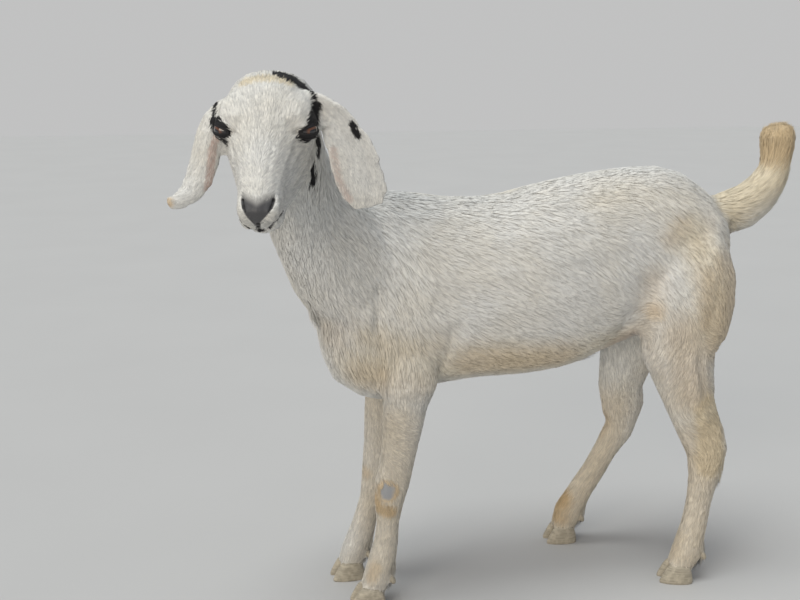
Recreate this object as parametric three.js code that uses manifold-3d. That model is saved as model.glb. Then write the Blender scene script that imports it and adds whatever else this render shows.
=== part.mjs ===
// A life-size museum model of a young lop-eared goat, standing square with its tail up
// and its head turned to look over its left side.
//
// The model is laid out in millimetres: the goat faces -X, its left side faces -Y and
// +Z is up. All outlines run to the tips of the coat. The finished model is moved at the
// end so that the middle of its footprint lies on the origin.

import * as THREE from "three";
import { ParametricGeometry } from "three/addons/geometries/ParametricGeometry.js";
import { mergeVertices } from "three/addons/utils/BufferGeometryUtils.js";
import Module from "manifold-3d";

const wasm = await Module();
wasm.setup();

// ---------------------------------------------------------------------------
// Driving dimensions
// ---------------------------------------------------------------------------

const JOINT_GAP = 0.32; // clear space left where one part meets the next
const WELD = 1e-4; // vertices nearer than this are one vertex

const LEFT = -1; // the side of the body that faces -Y
const RIGHT = 1;

const HEAD_SIDES = { left: 1, right: -1 }; // which way "across" the head each side lies

// The head: where the middle between the eyes lies, how far it is turned to the left
// from straight ahead, and how steeply the face points down.
const EYE_LINE = new THREE.Vector3(-127, -158, 593);
const HEAD_TURN = 76;
const FACE_PITCH = 50;

const EYE_RADIUS = 12.5;
const EYE_SPACING = 39; // middle plane of the head to the middle of an eyeball
const LID_OPENING = { length: 12, height: 7, depth: 7 };

const HOOF = { length: 46, width: 17, height: 24, between: 18.5 };
const DEWCLAW = { length: 7.5, radius: 4.6, spread: 10.5 };

// The body: chest to rump. "level" is the height of the widest place of a section.
const TRUNK = [
  { x: -60, level: 344, up: 22, down: 46, side: 24 },
  { x: -42, level: 346, up: 68, down: 72, side: 43 },
  { x: -14, level: 350, up: 114, down: 96, side: 57, square: 2.1 },
  { x: 22, level: 354, up: 156, down: 100, side: 63, square: 2.15 },
  { x: 60, level: 358, up: 153, down: 93, side: 65, square: 2.15 },
  { x: 120, level: 366, up: 138, down: 93, side: 69, square: 2.15 },
  { x: 180, level: 376, up: 129, down: 102, side: 75, square: 2.15 },
  { x: 235, level: 388, up: 129, down: 107, side: 75, square: 2.15 },
  { x: 290, level: 402, up: 126, down: 99, side: 69, square: 2.15 },
  { x: 345, level: 414, up: 120, down: 96, side: 62, square: 2.15 },
  { x: 392, level: 419, up: 112, down: 90, side: 57, square: 2.1 },
  { x: 430, level: 420, up: 88, down: 77, side: 49 },
  { x: 458, level: 420, up: 60, down: 62, side: 38 },
  { x: 473, level: 419, up: 30, down: 34, side: 24 },
];

// The neck, from inside the head down to inside the shoulders. "left" is the direction
// of its left side, which swings round as the head turns.
const NECK = [
  { at: [-116, -122, 604], left: [0.97, -0.24, 0], up: 34, down: 36, side: 43 },
  { at: [-109, -104, 584], left: [0.93, -0.36, 0], up: 40, down: 44, side: 46 },
  { at: [-96, -80, 551], left: [0.78, -0.62, 0], up: 45, down: 46, side: 43 },
  { at: [-77, -52, 508], left: [0.5, -0.87, 0], up: 52, down: 54, side: 43 },
  { at: [-50, -27, 462], left: [0.22, -0.97, 0], up: 63, down: 62, side: 50 },
  { at: [-18, -8, 420], left: [0.05, -1, 0], up: 86, down: 76, side: 57 },
  { at: [25, 0, 392], left: [0, -1, 0], up: 104, down: 98, side: 59 },
];

// The upper head, nose to nape, in the head's own directions: "along" the face toward
// the nose and "out" from the forehead, both from the line between the eyes.
const SKULL = [
  { along: 106, out: -13, up: 10, down: 11, side: 12.5, square: 2.3 },
  { along: 101, out: -12, up: 16.5, down: 18, side: 18.5, square: 2.3 },
  { along: 88, out: -12, up: 21.5, down: 22, side: 22.5, square: 2.3 },
  { along: 66, out: -14, up: 27.5, down: 24, side: 25, square: 2.2 },
  { along: 44, out: -17, up: 34.5, down: 30, side: 31.5, square: 2.1 },
  { along: 20, out: -19, up: 40, down: 38, side: 40, square: 2.1 },
  { along: -4, out: -21, up: 45, down: 43, side: 46, square: 2.1 },
  { along: -28, out: -23, up: 48, down: 44, side: 49, square: 2.15 },
  { along: -50, out: -26, up: 44, down: 42, side: 47, square: 2.15 },
  { along: -65, out: -30, up: 32, down: 32, side: 39, square: 2.1 },
  { along: -74, out: -33, up: 15, down: 16, side: 20 },
];

// The lower jaw, chin to throat, in the same directions.
const JAW = [
  { along: 100, out: -35, up: 6, down: 5, side: 10 },
  { along: 93, out: -36, up: 10, down: 9, side: 15.5 },
  { along: 72, out: -40, up: 13, down: 12, side: 20 },
  { along: 44, out: -48, up: 20, down: 17, side: 30 },
  { along: 16, out: -54, up: 30, down: 23, side: 40 },
  { along: -8, out: -54, up: 32, down: 25, side: 41 },
  { along: -28, out: -52, up: 28, down: 22, side: 36 },
  { along: -44, out: -48, up: 18, down: 14, side: 26 },
];

// Bulges on each side of the head: orbit, brow, nostril wing and upper lip.
const HEAD_BULGES = [
  { along: -5, across: 35, out: -1, size: [21, 17.5, 17] },
  { along: -16, across: 25, out: 7, size: [28, 23, 15] },
  { along: 92, across: 9.5, out: -5, size: [14, 12, 12] },
  { along: 88, across: 9.5, out: -22, size: [16, 14, 13.5] },
];
const NOSTRIL = { along: 104.5, across: 10.5, out: -5, size: [4, 2, 6] };

// The ears hang from the sides of the head: root to tip, with the direction of the
// ear's width and how far the blade is curled across it.
const LEFT_EAR = [
  { at: [-99, -138, 619], left: [0.1, -0.4, 0.9], up: 8, down: 8, side: 15, curl: 0 },
  { at: [-80, -148, 614], left: [0.25, -0.4, 0.85], up: 8, down: 7, side: 19, curl: 2 },
  { at: [-60, -157.6, 606], left: [0.5, -0.4, 0.75], up: 6, down: 5, side: 18, curl: 5 },
  { at: [-46, -161, 583], left: [0.75, -0.3, 0.55], up: 4.5, down: 4.2, side: 23.5, curl: 7 },
  { at: [-37, -162.5, 559.3], left: [0.88, -0.25, 0.35], up: 3.8, down: 3.6, side: 26, curl: 7 },
  { at: [-30.4, -162.5, 536.5], left: [0.94, -0.2, 0.2], up: 3.4, down: 3.4, side: 26, curl: 5 },
  { at: [-26, -161.8, 519], left: [0.96, -0.2, 0.1], up: 3, down: 3, side: 23, curl: 3 },
  { at: [-24, -161, 511], left: [0.96, -0.2, 0.1], up: 2.2, down: 2.2, side: 18, curl: 2 },
];
const RIGHT_EAR = [
  { at: [-154, -122, 616], left: [0.2, 0.5, 0.84], up: 8, down: 8, side: 13, curl: 0 },
  { at: [-169, -127, 608], left: [0.0, 0.6, 0.8], up: 7, down: 6, side: 15, curl: 2 },
  { at: [-180, -134, 594], left: [-0.5, 0.5, 0.6], up: 5.5, down: 5, side: 15.5, curl: 4 },
  { at: [-186, -139, 577], left: [-0.85, 0.4, 0.25], up: 4.5, down: 4.2, side: 16, curl: 6 },
  { at: [-191, -142, 558], left: [-0.9, 0.35, 0.12], up: 3.8, down: 3.6, side: 16, curl: 6 },
  { at: [-197, -145, 540], left: [-0.88, 0.3, 0.2], up: 3.4, down: 3.4, side: 15, curl: 4 },
  { at: [-208, -149, 526], left: [-0.65, 0.3, 0.65], up: 3, down: 3, side: 11.5, curl: 3 },
  { at: [-227, -154, 520], left: [-0.15, 0.3, 0.94], up: 2.6, down: 2.6, side: 7, curl: 1 },
];

// The tail, held up over the rump and cut off square at the brush.
const TAIL = [
  { at: [436, 0, 466], up: 22, down: 22, side: 22 },
  { at: [462, 0, 471], up: 27, down: 30, side: 25 },
  { at: [489, 0, 478], up: 28, down: 32, side: 25 },
  { at: [513, 0, 495], up: 25, down: 27, side: 23 },
  { at: [530, 0, 522], up: 22, down: 22, side: 21 },
  { at: [534, 0, 550], up: 22.5, down: 22.5, side: 21.5, square: 2.2 },
  { at: [532, 0, 576], up: 24, down: 24, side: 24, square: 2.4 },
  { at: [531, 0, 582], up: 22, down: 22, side: 22, square: 2.4 },
];

// The shoulder: blade, then the upper arm lying back to the elbow.
const SHOULDER_BLADE = [
  { at: [56, 20, 488], up: 10, down: 10, side: 5 },
  { at: [40, 33, 450], up: 34, down: 30, side: 14 },
  { at: [16, 42, 402], up: 44, down: 38, side: 18 },
  { at: [-4, 44, 360], up: 40, down: 34, side: 18 },
  { at: [-14, 39, 324], up: 22, down: 18, side: 12 },
];
const UPPER_ARM = [
  { at: [-30, 34, 352], up: 16, down: 16, side: 10 },
  { at: [6, 43, 338], up: 38, down: 36, side: 18 },
  { at: [46, 45, 322], up: 38, down: 34, side: 18 },
  { at: [76, 42, 306], up: 20, down: 20, side: 12 },
];

// Sizes of a leg from top to bottom: height of the section, then how far it reaches
// forward, back and to each side of the middle of the leg.
const FORE_SIZES = [
  { z: 350, front: 22, back: 24, side: 10 },
  { z: 314, front: 33, back: 39, side: 19 },
  { z: 290, front: 32, back: 40, side: 21 },
  { z: 268, front: 29, back: 30, side: 21 },
  { z: 238, front: 26, back: 26, side: 19 },
  { z: 205, front: 23, back: 23, side: 17 },
  { z: 175, front: 21, back: 21.5, side: 17 },
  { z: 152, front: 22.5, back: 21, side: 18.5 },
  { z: 130, front: 18.5, back: 18, side: 15.5 },
  { z: 106, front: 14.5, back: 14.5, side: 13 },
  { z: 82, front: 15.5, back: 15.5, side: 13.5 },
  { z: 58, front: 17.5, back: 18, side: 16.5 },
  { z: 42, front: 18.5, back: 20, side: 18 },
  { z: 27, front: 18, back: 18, side: 17.5 },
  { z: 15, front: 19, back: 19, side: 18.5 },
];
const LEFT_FORE = {
  x: [48, 46, 43, 41, 38.5, 34, 29, 24.5, 21, 20, 18, 13.5, 10, 4, -1],
  y: [42, 47, 49, 48, 46, 44, 43, 42, 41, 40, 39, 38, 38, 38, 38],
  hoof: { x: -3, y: 38, turn: 4 },
};
const RIGHT_FORE = {
  x: [48, 46, 42, 38, 33, 28.5, 26, 25, 19.5, 13.5, 7, 0, -6, -13, -16],
  y: [42, 47, 49, 48, 47, 45, 44, 43, 42, 41, 40, 39, 38, 38, 38],
  hoof: { x: -16, y: 38, turn: 4 },
};

const HIND_SIZES = [
  { z: 458, front: 34, back: 38, side: 14 },
  { z: 418, front: 60, back: 60, side: 27 },
  { z: 372, front: 72, back: 66, side: 31 },
  { z: 334, front: 66, back: 60, side: 32 },
  { z: 300, front: 51, back: 49, side: 29 },
  { z: 262, front: 38, back: 38, side: 25 },
  { z: 226, front: 32, back: 32, side: 20 },
  { z: 192, front: 30, back: 31, side: 17 },
  { z: 170, front: 27, back: 28, side: 17 },
  { z: 146, front: 21.5, back: 22, side: 15.5 },
  { z: 118, front: 17.5, back: 17.5, side: 14 },
  { z: 84, front: 17.5, back: 17.5, side: 13.5 },
  { z: 60, front: 18.5, back: 19.5, side: 16 },
  { z: 44, front: 20, back: 22.5, side: 18 },
  { z: 28, front: 19, back: 20, side: 17.5 },
  { z: 15, front: 20, back: 19.5, side: 18.5 },
];
// The right hock: lower and sharper behind, over a slimmer shank.
const RIGHT_HIND_SIZES = [
  ...HIND_SIZES.slice(0, 7),
  { z: 192, front: 30, back: 31, side: 17 },
  { z: 172, front: 26.5, back: 24, side: 17 },
  { z: 150, front: 20.5, back: 16, side: 15.5 },
  { z: 118, front: 17.5, back: 16.5, side: 14 },
  ...HIND_SIZES.slice(11),
];
const LEFT_HIND = {
  x: [402, 402, 402, 399, 392, 401, 411, 426, 432, 429, 425.5, 421, 416, 413, 405, 400],
  y: [33, 39, 43, 46, 49, 53, 56, 58, 59, 60, 60, 60, 60, 60, 60, 60],
  hoof: { x: 399, y: 60, turn: 14 },
};
const RIGHT_HIND = {
  x: [402, 402, 400, 391, 377, 368, 365, 372.5, 374.5, 363, 346, 326, 310, 302.5, 297, 295],
  y: [33, 39, 44, 49, 54, 60, 66, 71, 74, 77, 80, 82, 83, 84, 85, 85],
  hoof: { x: 294, y: 85, turn: -2 },
};

const EARS = { ear_left: LEFT_EAR, ear_right: RIGHT_EAR };

// The planes that part the whole: elbow level, the base of the neck and the haunch.
const ELBOW_LEVEL = 284;
const NECK_CUT = { through: [0, 0, 440], toward: [-0.85, -0.2, 0.49] };
const HAUNCH_CUT = { through: [322, 0, 330], toward: [0.735, 0, -0.678] };

const LOOKS = {
  coat: { color: 0xddd8c9, roughness: 0.9 },
  ear: { color: 0xdccfc4, roughness: 0.85 },
  eye: { color: 0x2a1a10, roughness: 0.1 },
  hoof: { color: 0x77736c, roughness: 0.6 },
};

// ---------------------------------------------------------------------------
// Making closed bodies
// ---------------------------------------------------------------------------

const radians = THREE.MathUtils.degToRad;

// A geometry's shape alone, welded, without collapsed triangles and facing outward.
function weld(geometry) {
  geometry.deleteAttribute("normal");
  geometry.deleteAttribute("uv");
  const welded = mergeVertices(geometry, WELD);
  const corners = [];
  for (let i = 0; i < welded.index.count; i += 3) {
    const [a, b, c] = [0, 1, 2].map((k) => welded.index.getX(i + k));
    if (a !== b && b !== c && c !== a) corners.push(a, b, c);
  }
  welded.setIndex(corners);
  return signedVolume(welded) < 0 ? reversed(welded) : welded;
}

function signedVolume(geometry) {
  const [a, b, c] = [new THREE.Vector3(), new THREE.Vector3(), new THREE.Vector3()];
  let sum = 0;
  for (let i = 0; i < geometry.index.count; i += 3) {
    a.fromBufferAttribute(geometry.attributes.position, geometry.index.getX(i));
    b.fromBufferAttribute(geometry.attributes.position, geometry.index.getX(i + 1));
    c.fromBufferAttribute(geometry.attributes.position, geometry.index.getX(i + 2));
    sum += a.dot(b.cross(c)) / 6;
  }
  return sum;
}

function reversed(geometry) {
  geometry.setIndex(Array.from(geometry.index.array).reverse());
  return geometry;
}

function solid(geometry) {
  const shape = weld(geometry);
  return new wasm.Manifold(
    new wasm.Mesh({
      numProp: 3,
      vertProperties: new Float32Array(shape.attributes.position.array),
      triVerts: new Uint32Array(shape.index.array),
    }),
  );
}

function geometryOf(manifold) {
  const mesh = manifold.getMesh();
  const geometry = new THREE.BufferGeometry();
  geometry.setAttribute("position", new THREE.BufferAttribute(mesh.vertProperties, 3));
  geometry.setIndex(new THREE.BufferAttribute(mesh.triVerts, 1));
  return geometry;
}

const joined = (solids) => solids.reduce((whole, next) => whole.add(next));
const without = (body, ...cutters) => cutters.reduce((rest, cutter) => rest.subtract(cutter), body);

// The part of a body on the side of a plane that "toward" points to.
function beyond(body, { through, toward }, flip = 1, gap = 0) {
  const normal = new THREE.Vector3(...toward).normalize().multiplyScalar(flip);
  const offset = normal.dot(new THREE.Vector3(...through)) + gap / 2;
  return body.trimByPlane(normal.toArray(), offset);
}

// Spacing of rings along a loft: the last few at each end gather to round it off.
function ringAt(u, cap, share) {
  if (u < share) {
    const angle = (u / share) * (Math.PI / 2);
    return { t: cap * (1 - Math.cos(angle)), full: Math.sin(angle) };
  }
  if (u > 1 - share) {
    const mirrored = ringAt(1 - u, cap, share);
    return { t: 1 - mirrored.t, full: mirrored.full };
  }
  return { t: cap + ((u - share) / (1 - 2 * share)) * (1 - 2 * cap), full: 1 };
}

// Smoothly blended stations along a spine, by distance from the first to the last.
function blended(stations) {
  const distance = [0];
  for (let i = 1; i < stations.length; i += 1) {
    const here = new THREE.Vector3(...stations[i].at);
    const before = new THREE.Vector3(...stations[i - 1].at);
    distance.push(distance[i - 1] + here.distanceTo(before));
  }
  const rows = stations.map((s) => [
    ...s.at,
    ...(s.left ?? [0, -1, 0]),
    s.up,
    s.down,
    s.side,
    s.square ?? 2,
    s.curl ?? 0,
  ]);
  const curve = new THREE.CubicInterpolant(
    distance.map((d) => d / distance.at(-1)),
    rows.flat(),
    rows[0].length,
    new Float64Array(rows[0].length),
  );
  return (t) => {
    const row = curve.evaluate(THREE.MathUtils.clamp(t, 0, 1));
    return {
      at: new THREE.Vector3(row[0], row[1], row[2]),
      left: new THREE.Vector3(row[3], row[4], row[5]),
      up: row[6],
      down: row[7],
      side: row[8],
      square: row[9],
      curl: row[10],
    };
  };
}

const rounded = (value, power) => Math.sign(value) * Math.abs(value) ** power;

// A closed body lofted through the sections of its stations. Every spine runs the way
// from nose to tail, or from the top of a limb to its end.
function loft(stations, { rings, sides, cap = 0.04, share = 0.12, grow = 0 }) {
  const station = blended(stations);
  const tangent = new THREE.Vector3();
  const across = new THREE.Vector3();
  const over = new THREE.Vector3();
  const shape = new ParametricGeometry(
    (u, v, target) => {
      const { t, full } = ringAt(u, cap, share);
      const here = station(t);
      tangent.subVectors(station(t + 0.004).at, station(t - 0.004).at).normalize();
      across.copy(here.left).addScaledVector(tangent, -here.left.dot(tangent)).normalize();
      over.crossVectors(across, tangent);
      const angle = v * Math.PI * 2;
      const power = 2 / here.square;
      const width = rounded(Math.cos(angle), power);
      const height = rounded(Math.sin(angle), power);
      const reach = (height > 0 ? here.up : here.down) + grow;
      const bent = here.curl * width * width;
      target
        .copy(here.at)
        .addScaledVector(across, width * full * (here.side + grow))
        .addScaledVector(over, (height * reach - bent) * full);
    },
    rings,
    sides,
  );
  return solid(shape);
}

// A rounded lump: a ball stretched along three directions.
function lump(centre, size, frame = new THREE.Matrix4(), detail = [9, 6]) {
  const ball = new THREE.SphereGeometry(1, ...detail);
  ball.scale(...size);
  ball.applyMatrix4(frame);
  ball.translate(...centre);
  return solid(ball);
}

// ---------------------------------------------------------------------------
// Head directions
// ---------------------------------------------------------------------------

const turn = radians(HEAD_TURN);
const pitch = radians(FACE_PITCH);
const LOOKING = new THREE.Vector3(-Math.cos(turn), -Math.sin(turn), 0);
const ALONG = LOOKING.clone().multiplyScalar(Math.cos(pitch)).setZ(-Math.sin(pitch));
const OUT = LOOKING.clone().multiplyScalar(Math.sin(pitch)).setZ(Math.cos(pitch));
const HEAD_LEFT = new THREE.Vector3().crossVectors(OUT, ALONG);
const HEAD_FRAME = new THREE.Matrix4().makeBasis(ALONG, HEAD_LEFT, OUT);

// A place on the head, from the middle of the line between the eyes.
function headPoint(along, across, out) {
  return new THREE.Vector3(along, across, out).applyMatrix4(HEAD_FRAME).add(EYE_LINE);
}

const headStations = (rows) =>
  rows.map((row) => ({
    ...row,
    at: headPoint(row.along, 0, row.out).toArray(),
    left: HEAD_LEFT.toArray(),
  }));

const headLump = ({ along, across, out, size }, sign = 1, extra = 0) =>
  lump(
    headPoint(along, across * sign, out).toArray(),
    size.map((s) => s + extra),
    HEAD_FRAME,
  );

// The eye looks out to the side, a little forward and up.
const eyeAxis = (sign) =>
  new THREE.Vector3(0.36, 0.9 * sign, 0.24).normalize().applyMatrix4(HEAD_FRAME);
const eyeCentre = (sign) => headPoint(0, EYE_SPACING * sign, -2);

function eyeball(sign, grow = 0) {
  const ball = new THREE.SphereGeometry(EYE_RADIUS + grow, 12, 7);
  ball.translate(...eyeCentre(sign).toArray());
  return solid(ball);
}

// The opening between the lids, a long lens in front of the eyeball.
function lidOpening(sign) {
  const axis = eyeAxis(sign);
  const length = ALONG.clone().addScaledVector(OUT, 0.25);
  length.addScaledVector(axis, -length.dot(axis)).normalize();
  const height = new THREE.Vector3().crossVectors(axis, length);
  const frame = new THREE.Matrix4().makeBasis(length, height, axis);
  const centre = eyeCentre(sign).addScaledVector(axis, EYE_RADIUS + 1);
  return lump(
    centre.toArray(),
    [LID_OPENING.length, LID_OPENING.height, LID_OPENING.depth],
    frame,
  );
}

// ---------------------------------------------------------------------------
// Parts of the body, each made whole; "grow" makes the slightly larger copy that
// leaves the joint gap in its neighbour.
// ---------------------------------------------------------------------------

function makeHead(grow = 0) {
  const lumps = HEAD_BULGES.flatMap((bulge) => [
    headLump(bulge, HEAD_SIDES.left, grow),
    headLump(bulge, HEAD_SIDES.right, grow),
  ]);
  return joined([
    loft(headStations(SKULL), { rings: 17, sides: 18, cap: 0.05, share: 0.14, grow }),
    loft(headStations(JAW), { rings: 9, sides: 12, cap: 0.05, share: 0.2, grow }),
    ...lumps,
  ]);
}

const makeNeck = () => loft(NECK, { rings: 10, sides: 20 });

const makeEar = (stations, grow = 0) =>
  loft(stations, { rings: 11, sides: 12, cap: 0.03, share: 0.13, grow });

const makeTail = () => loft(TAIL, { rings: 11, sides: 12, cap: 0.06, share: 0.16 });

const sided = (rows, side) =>
  rows.map(({ at: [x, y, z], ...sizes }) => ({ at: [x, y * side, z], ...sizes }));

function legStations(sizes, leg, side) {
  return sizes.map(({ z, front, back, side: half }, i) => ({
    at: [leg.x[i], leg.y[i] * side, z],
    up: back,
    down: front,
    side: half,
    square: 2.1,
  }));
}

function makeLeg(sizes, leg, side, grow = 0) {
  return loft(legStations(sizes, leg, side), {
    rings: 16,
    sides: 12,
    cap: 0.02,
    share: 0.09,
    grow,
  });
}

function makeTrunk(grow = 0) {
  const spine = TRUNK.map(({ x, level, ...sizes }) => ({ at: [x, 0, level], ...sizes }));
  const sides = [LEFT, RIGHT].flatMap((side) => [
    loft(sided(SHOULDER_BLADE, side), { rings: 6, sides: 10, cap: 0.1, share: 0.25, grow }),
    loft(sided(UPPER_ARM, side), { rings: 6, sides: 10, cap: 0.1, share: 0.25, grow }),
  ]);
  return joined([
    loft(spine, { rings: 23, sides: 20, cap: 0.025, share: 0.09, grow }),
    ...sides,
  ]);
}

// One claw of a hoof: a flat sole, an upright outer wall and a sloping toe. The inner
// wall is flatter than the outer one.
function makeClaw(foot, side, place, grow = 0) {
  const { length, width, height, between } = HOOF;
  const levels = [
    { z: 0, toe: 0, heel: 0, reach: 0 },
    { z: 0, toe: 0.53, heel: 0.42, reach: 0.48 },
    { z: 0.18, toe: 0.52, heel: 0.43, reach: 0.5 },
    { z: 0.55, toe: 0.42, heel: 0.4, reach: 0.5 },
    { z: 1, toe: 0.28, heel: 0.32, reach: 0.44 },
    { z: 1.12, toe: 0, heel: 0, reach: 0 },
  ];
  const outward = side * place;
  const shape = new ParametricGeometry(
    (u, v, target) => {
      const level = levels[Math.round(u * (levels.length - 1))];
      const angle = v * Math.PI * 2;
      const ends = Math.cos(angle);
      const sideways = rounded(Math.sin(angle), 0.8);
      const full = level.reach > 0 ? grow : 0;
      const run = ends > 0 ? level.heel * length + full : level.toe * length + full;
      const flat = Math.sin(angle) * outward < 0 ? 0.82 : 1;
      const nip = ends < 0 ? 1 - 0.35 * ends * ends : 1;
      const z = level.z * height + (level.z > 1 ? grow : 0) - (level.z === 0 ? grow : 0);
      target.set(
        rounded(ends, 0.85) * run,
        sideways * (level.reach * width + full) * flat * nip + (outward * between) / 2,
        z,
      );
    },
    levels.length - 1,
    12,
  );
  shape.rotateZ(radians(foot.turn * side));
  shape.translate(foot.x, foot.y * side, 0);
  return solid(shape);
}

// The two small dewclaws behind a fetlock.
function makeDewclaw(sizes, leg, side, place, grow = 0) {
  const fetlock = sizes.findIndex(({ z }) => z < 50);
  const size = [DEWCLAW.radius, DEWCLAW.radius, DEWCLAW.length].map((s) => s + grow);
  const tilt = new THREE.Matrix4().makeRotationY(radians(-24));
  const centre = [
    leg.x[fetlock] + sizes[fetlock].back - 6,
    leg.y[fetlock] * side + place * side * DEWCLAW.spread,
    sizes[fetlock].z - 9,
  ];
  return lump(centre, size, tilt, [6, 4]);
}

// ---------------------------------------------------------------------------
// Putting the goat together
// ---------------------------------------------------------------------------

const LEGS = [
  { name: "fore_leg_left", sizes: FORE_SIZES, leg: LEFT_FORE, side: LEFT, fore: true },
  { name: "fore_leg_right", sizes: FORE_SIZES, leg: RIGHT_FORE, side: RIGHT, fore: true },
  { name: "hind_leg_left", sizes: HIND_SIZES, leg: LEFT_HIND, side: LEFT, fore: false },
  { name: "hind_leg_right", sizes: RIGHT_HIND_SIZES, leg: RIGHT_HIND, side: RIGHT, fore: false },
];

const ELBOW_CUT = { through: [0, 0, ELBOW_LEVEL], toward: [0, 0, -1] };
const MIDDLE_CUT = { through: [0, 0, 0], toward: [0, 1, 0] };

const CLAWS = { outer: 1, inner: -1 }; // away from and toward the other foot

const footName = (name) => name.replace("_leg_", "_").concat("_foot");

function makeGoat() {
  const group = new THREE.Group();
  group.name = "goat";

  function show(name, body, look) {
    const material = new THREE.MeshStandardMaterial({ ...LOOKS[look], metalness: 0 });
    material.name = look;
    const mesh = new THREE.Mesh(geometryOf(body), material);
    mesh.name = name;
    group.add(mesh);
  }

  const legs = LEGS.map((row) => ({ ...row, whole: makeLeg(row.sizes, row.leg, row.side) }));
  const torso = joined([makeTrunk(), makeNeck(), ...legs.map(({ whole }) => whole)]);
  const haunches = beyond(torso, HAUNCH_CUT, 1, JOINT_GAP);
  const foreLegs = legs
    .filter(({ fore }) => fore)
    .map(({ sizes, leg, side }) => makeLeg(sizes, leg, side, JOINT_GAP));
  const lowerForeLegs = foreLegs.map((leg) => beyond(leg, ELBOW_CUT, 1, -JOINT_GAP));
  const front = without(beyond(torso, HAUNCH_CUT, -1, JOINT_GAP), ...lowerForeLegs);

  const headPocket = makeHead(JOINT_GAP);
  const signs = Object.values(HEAD_SIDES);
  const eyePockets = signs.map((sign) => eyeball(sign, JOINT_GAP));
  const earPockets = Object.values(EARS).map((ear) => makeEar(ear, JOINT_GAP));
  const lidsAndNostrils = signs.flatMap((sign) => [lidOpening(sign), headLump(NOSTRIL, sign)]);

  show("trunk", beyond(front, NECK_CUT, -1, JOINT_GAP), "coat");
  show("neck", without(beyond(front, NECK_CUT, 1, JOINT_GAP), headPocket, ...earPockets), "coat");
  show("head", without(makeHead(), ...eyePockets, ...lidsAndNostrils), "coat");
  Object.entries(EARS).forEach(([name, ear]) => {
    show(name, without(makeEar(ear), headPocket, ...eyePockets), "ear");
  });
  Object.entries(HEAD_SIDES).forEach(([name, sign]) => show(`eye_${name}`, eyeball(sign), "eye"));

  const rump = joined([
    makeTrunk(JOINT_GAP),
    ...legs.map(({ sizes, leg, side }) => makeLeg(sizes, leg, side, JOINT_GAP)),
  ]);
  show("tail", without(makeTail(), rump), "coat");

  legs.forEach(({ name, sizes, leg, side, fore, whole }) => {
    const limb = fore
      ? beyond(whole, ELBOW_CUT, 1, JOINT_GAP)
      : beyond(haunches, MIDDLE_CUT, side, JOINT_GAP);
    const pockets = Object.values(CLAWS).flatMap((place) => [
      makeClaw(leg.hoof, side, place, JOINT_GAP),
      makeDewclaw(sizes, leg, side, place, JOINT_GAP),
    ]);
    show(name, without(limb, ...pockets), "coat");
    const foot = footName(name);
    Object.entries(CLAWS).forEach(([word, place]) => {
      show(`${foot}_${word}_claw`, makeClaw(leg.hoof, side, place), "hoof");
      show(`${foot}_${word}_dewclaw`, makeDewclaw(sizes, leg, side, place), "hoof");
    });
  });

  // The middle of the footprint of the whole goes to the origin, the soles to the floor.
  const box = new THREE.Box3().setFromObject(group);
  const middle = box.getCenter(new THREE.Vector3());
  group.children.forEach((mesh) => mesh.geometry.translate(-middle.x, -middle.y, -box.min.z));
  return group;
}

export default makeGoat();
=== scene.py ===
"""A young lop-eared goat, life size: skin, coat, eyes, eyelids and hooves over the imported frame."""

import math

import bmesh
import bpy
import numpy as np
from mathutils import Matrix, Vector
from mathutils.bvhtree import BVHTree
from mathutils.kdtree import KDTree


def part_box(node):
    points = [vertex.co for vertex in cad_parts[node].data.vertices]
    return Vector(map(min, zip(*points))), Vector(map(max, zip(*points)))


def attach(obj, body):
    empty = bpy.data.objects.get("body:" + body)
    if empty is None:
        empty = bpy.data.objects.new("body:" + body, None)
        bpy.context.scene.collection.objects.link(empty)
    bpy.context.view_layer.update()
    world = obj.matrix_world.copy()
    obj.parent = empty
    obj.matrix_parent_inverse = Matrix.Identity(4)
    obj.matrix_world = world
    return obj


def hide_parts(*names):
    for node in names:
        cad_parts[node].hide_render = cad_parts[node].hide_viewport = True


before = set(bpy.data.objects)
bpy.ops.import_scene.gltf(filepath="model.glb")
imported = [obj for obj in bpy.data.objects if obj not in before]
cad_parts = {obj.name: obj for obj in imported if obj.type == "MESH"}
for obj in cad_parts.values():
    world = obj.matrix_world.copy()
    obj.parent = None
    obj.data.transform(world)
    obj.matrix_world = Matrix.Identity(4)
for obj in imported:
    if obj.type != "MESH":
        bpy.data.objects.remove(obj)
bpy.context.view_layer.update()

bl_info = {
    "name": "Standing Goat",
    "version": (1, 0, 0),
    "blender": (4, 5, 0),
    "location": "View3D > Sidebar > Goat",
    "description": "Skin, coat, eyes and hooves of a young lop-eared goat",
    "category": "Object",
}

MM = 0.001
BODY = "root"
SEED = 20

# ---------------------------------------------------------------------------
# Directions of the head, and the goat's own millimetres
# ---------------------------------------------------------------------------

HEAD_TURN = math.radians(76)
FACE_PITCH = math.radians(50)
LOOKING = np.array([-math.cos(HEAD_TURN), -math.sin(HEAD_TURN), 0.0])
UP = np.array([0.0, 0.0, 1.0])
ALONG = LOOKING * math.cos(FACE_PITCH) - UP * math.sin(FACE_PITCH)
OUT = LOOKING * math.sin(FACE_PITCH) + UP * math.cos(FACE_PITCH)
HEAD_LEFT = np.cross(OUT, ALONG)
HEAD_AXES = np.array([ALONG, HEAD_LEFT, OUT])

EYE_DROP = 2.0  # eyeballs lie this far under the line between the lids
EYE_LINE = np.array([-127.0, -158.0, 593.0])
EYE_RADIUS = 12.5


def box_middle(node):
    low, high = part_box(node)
    return np.array((low + high) / 2) / MM


EYE_CENTRES = {1: box_middle("eye_left"), -1: box_middle("eye_right")}
EYE_SPACING = float(np.linalg.norm(EYE_CENTRES[1] - EYE_CENTRES[-1]) / 2)
# The frame's origin lies under the middle of the goat; the tables below measure from
# the near fore hoof, with the same directions.
SHIFT = EYE_LINE - EYE_DROP * OUT - (EYE_CENTRES[1] + EYE_CENTRES[-1]) / 2


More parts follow.
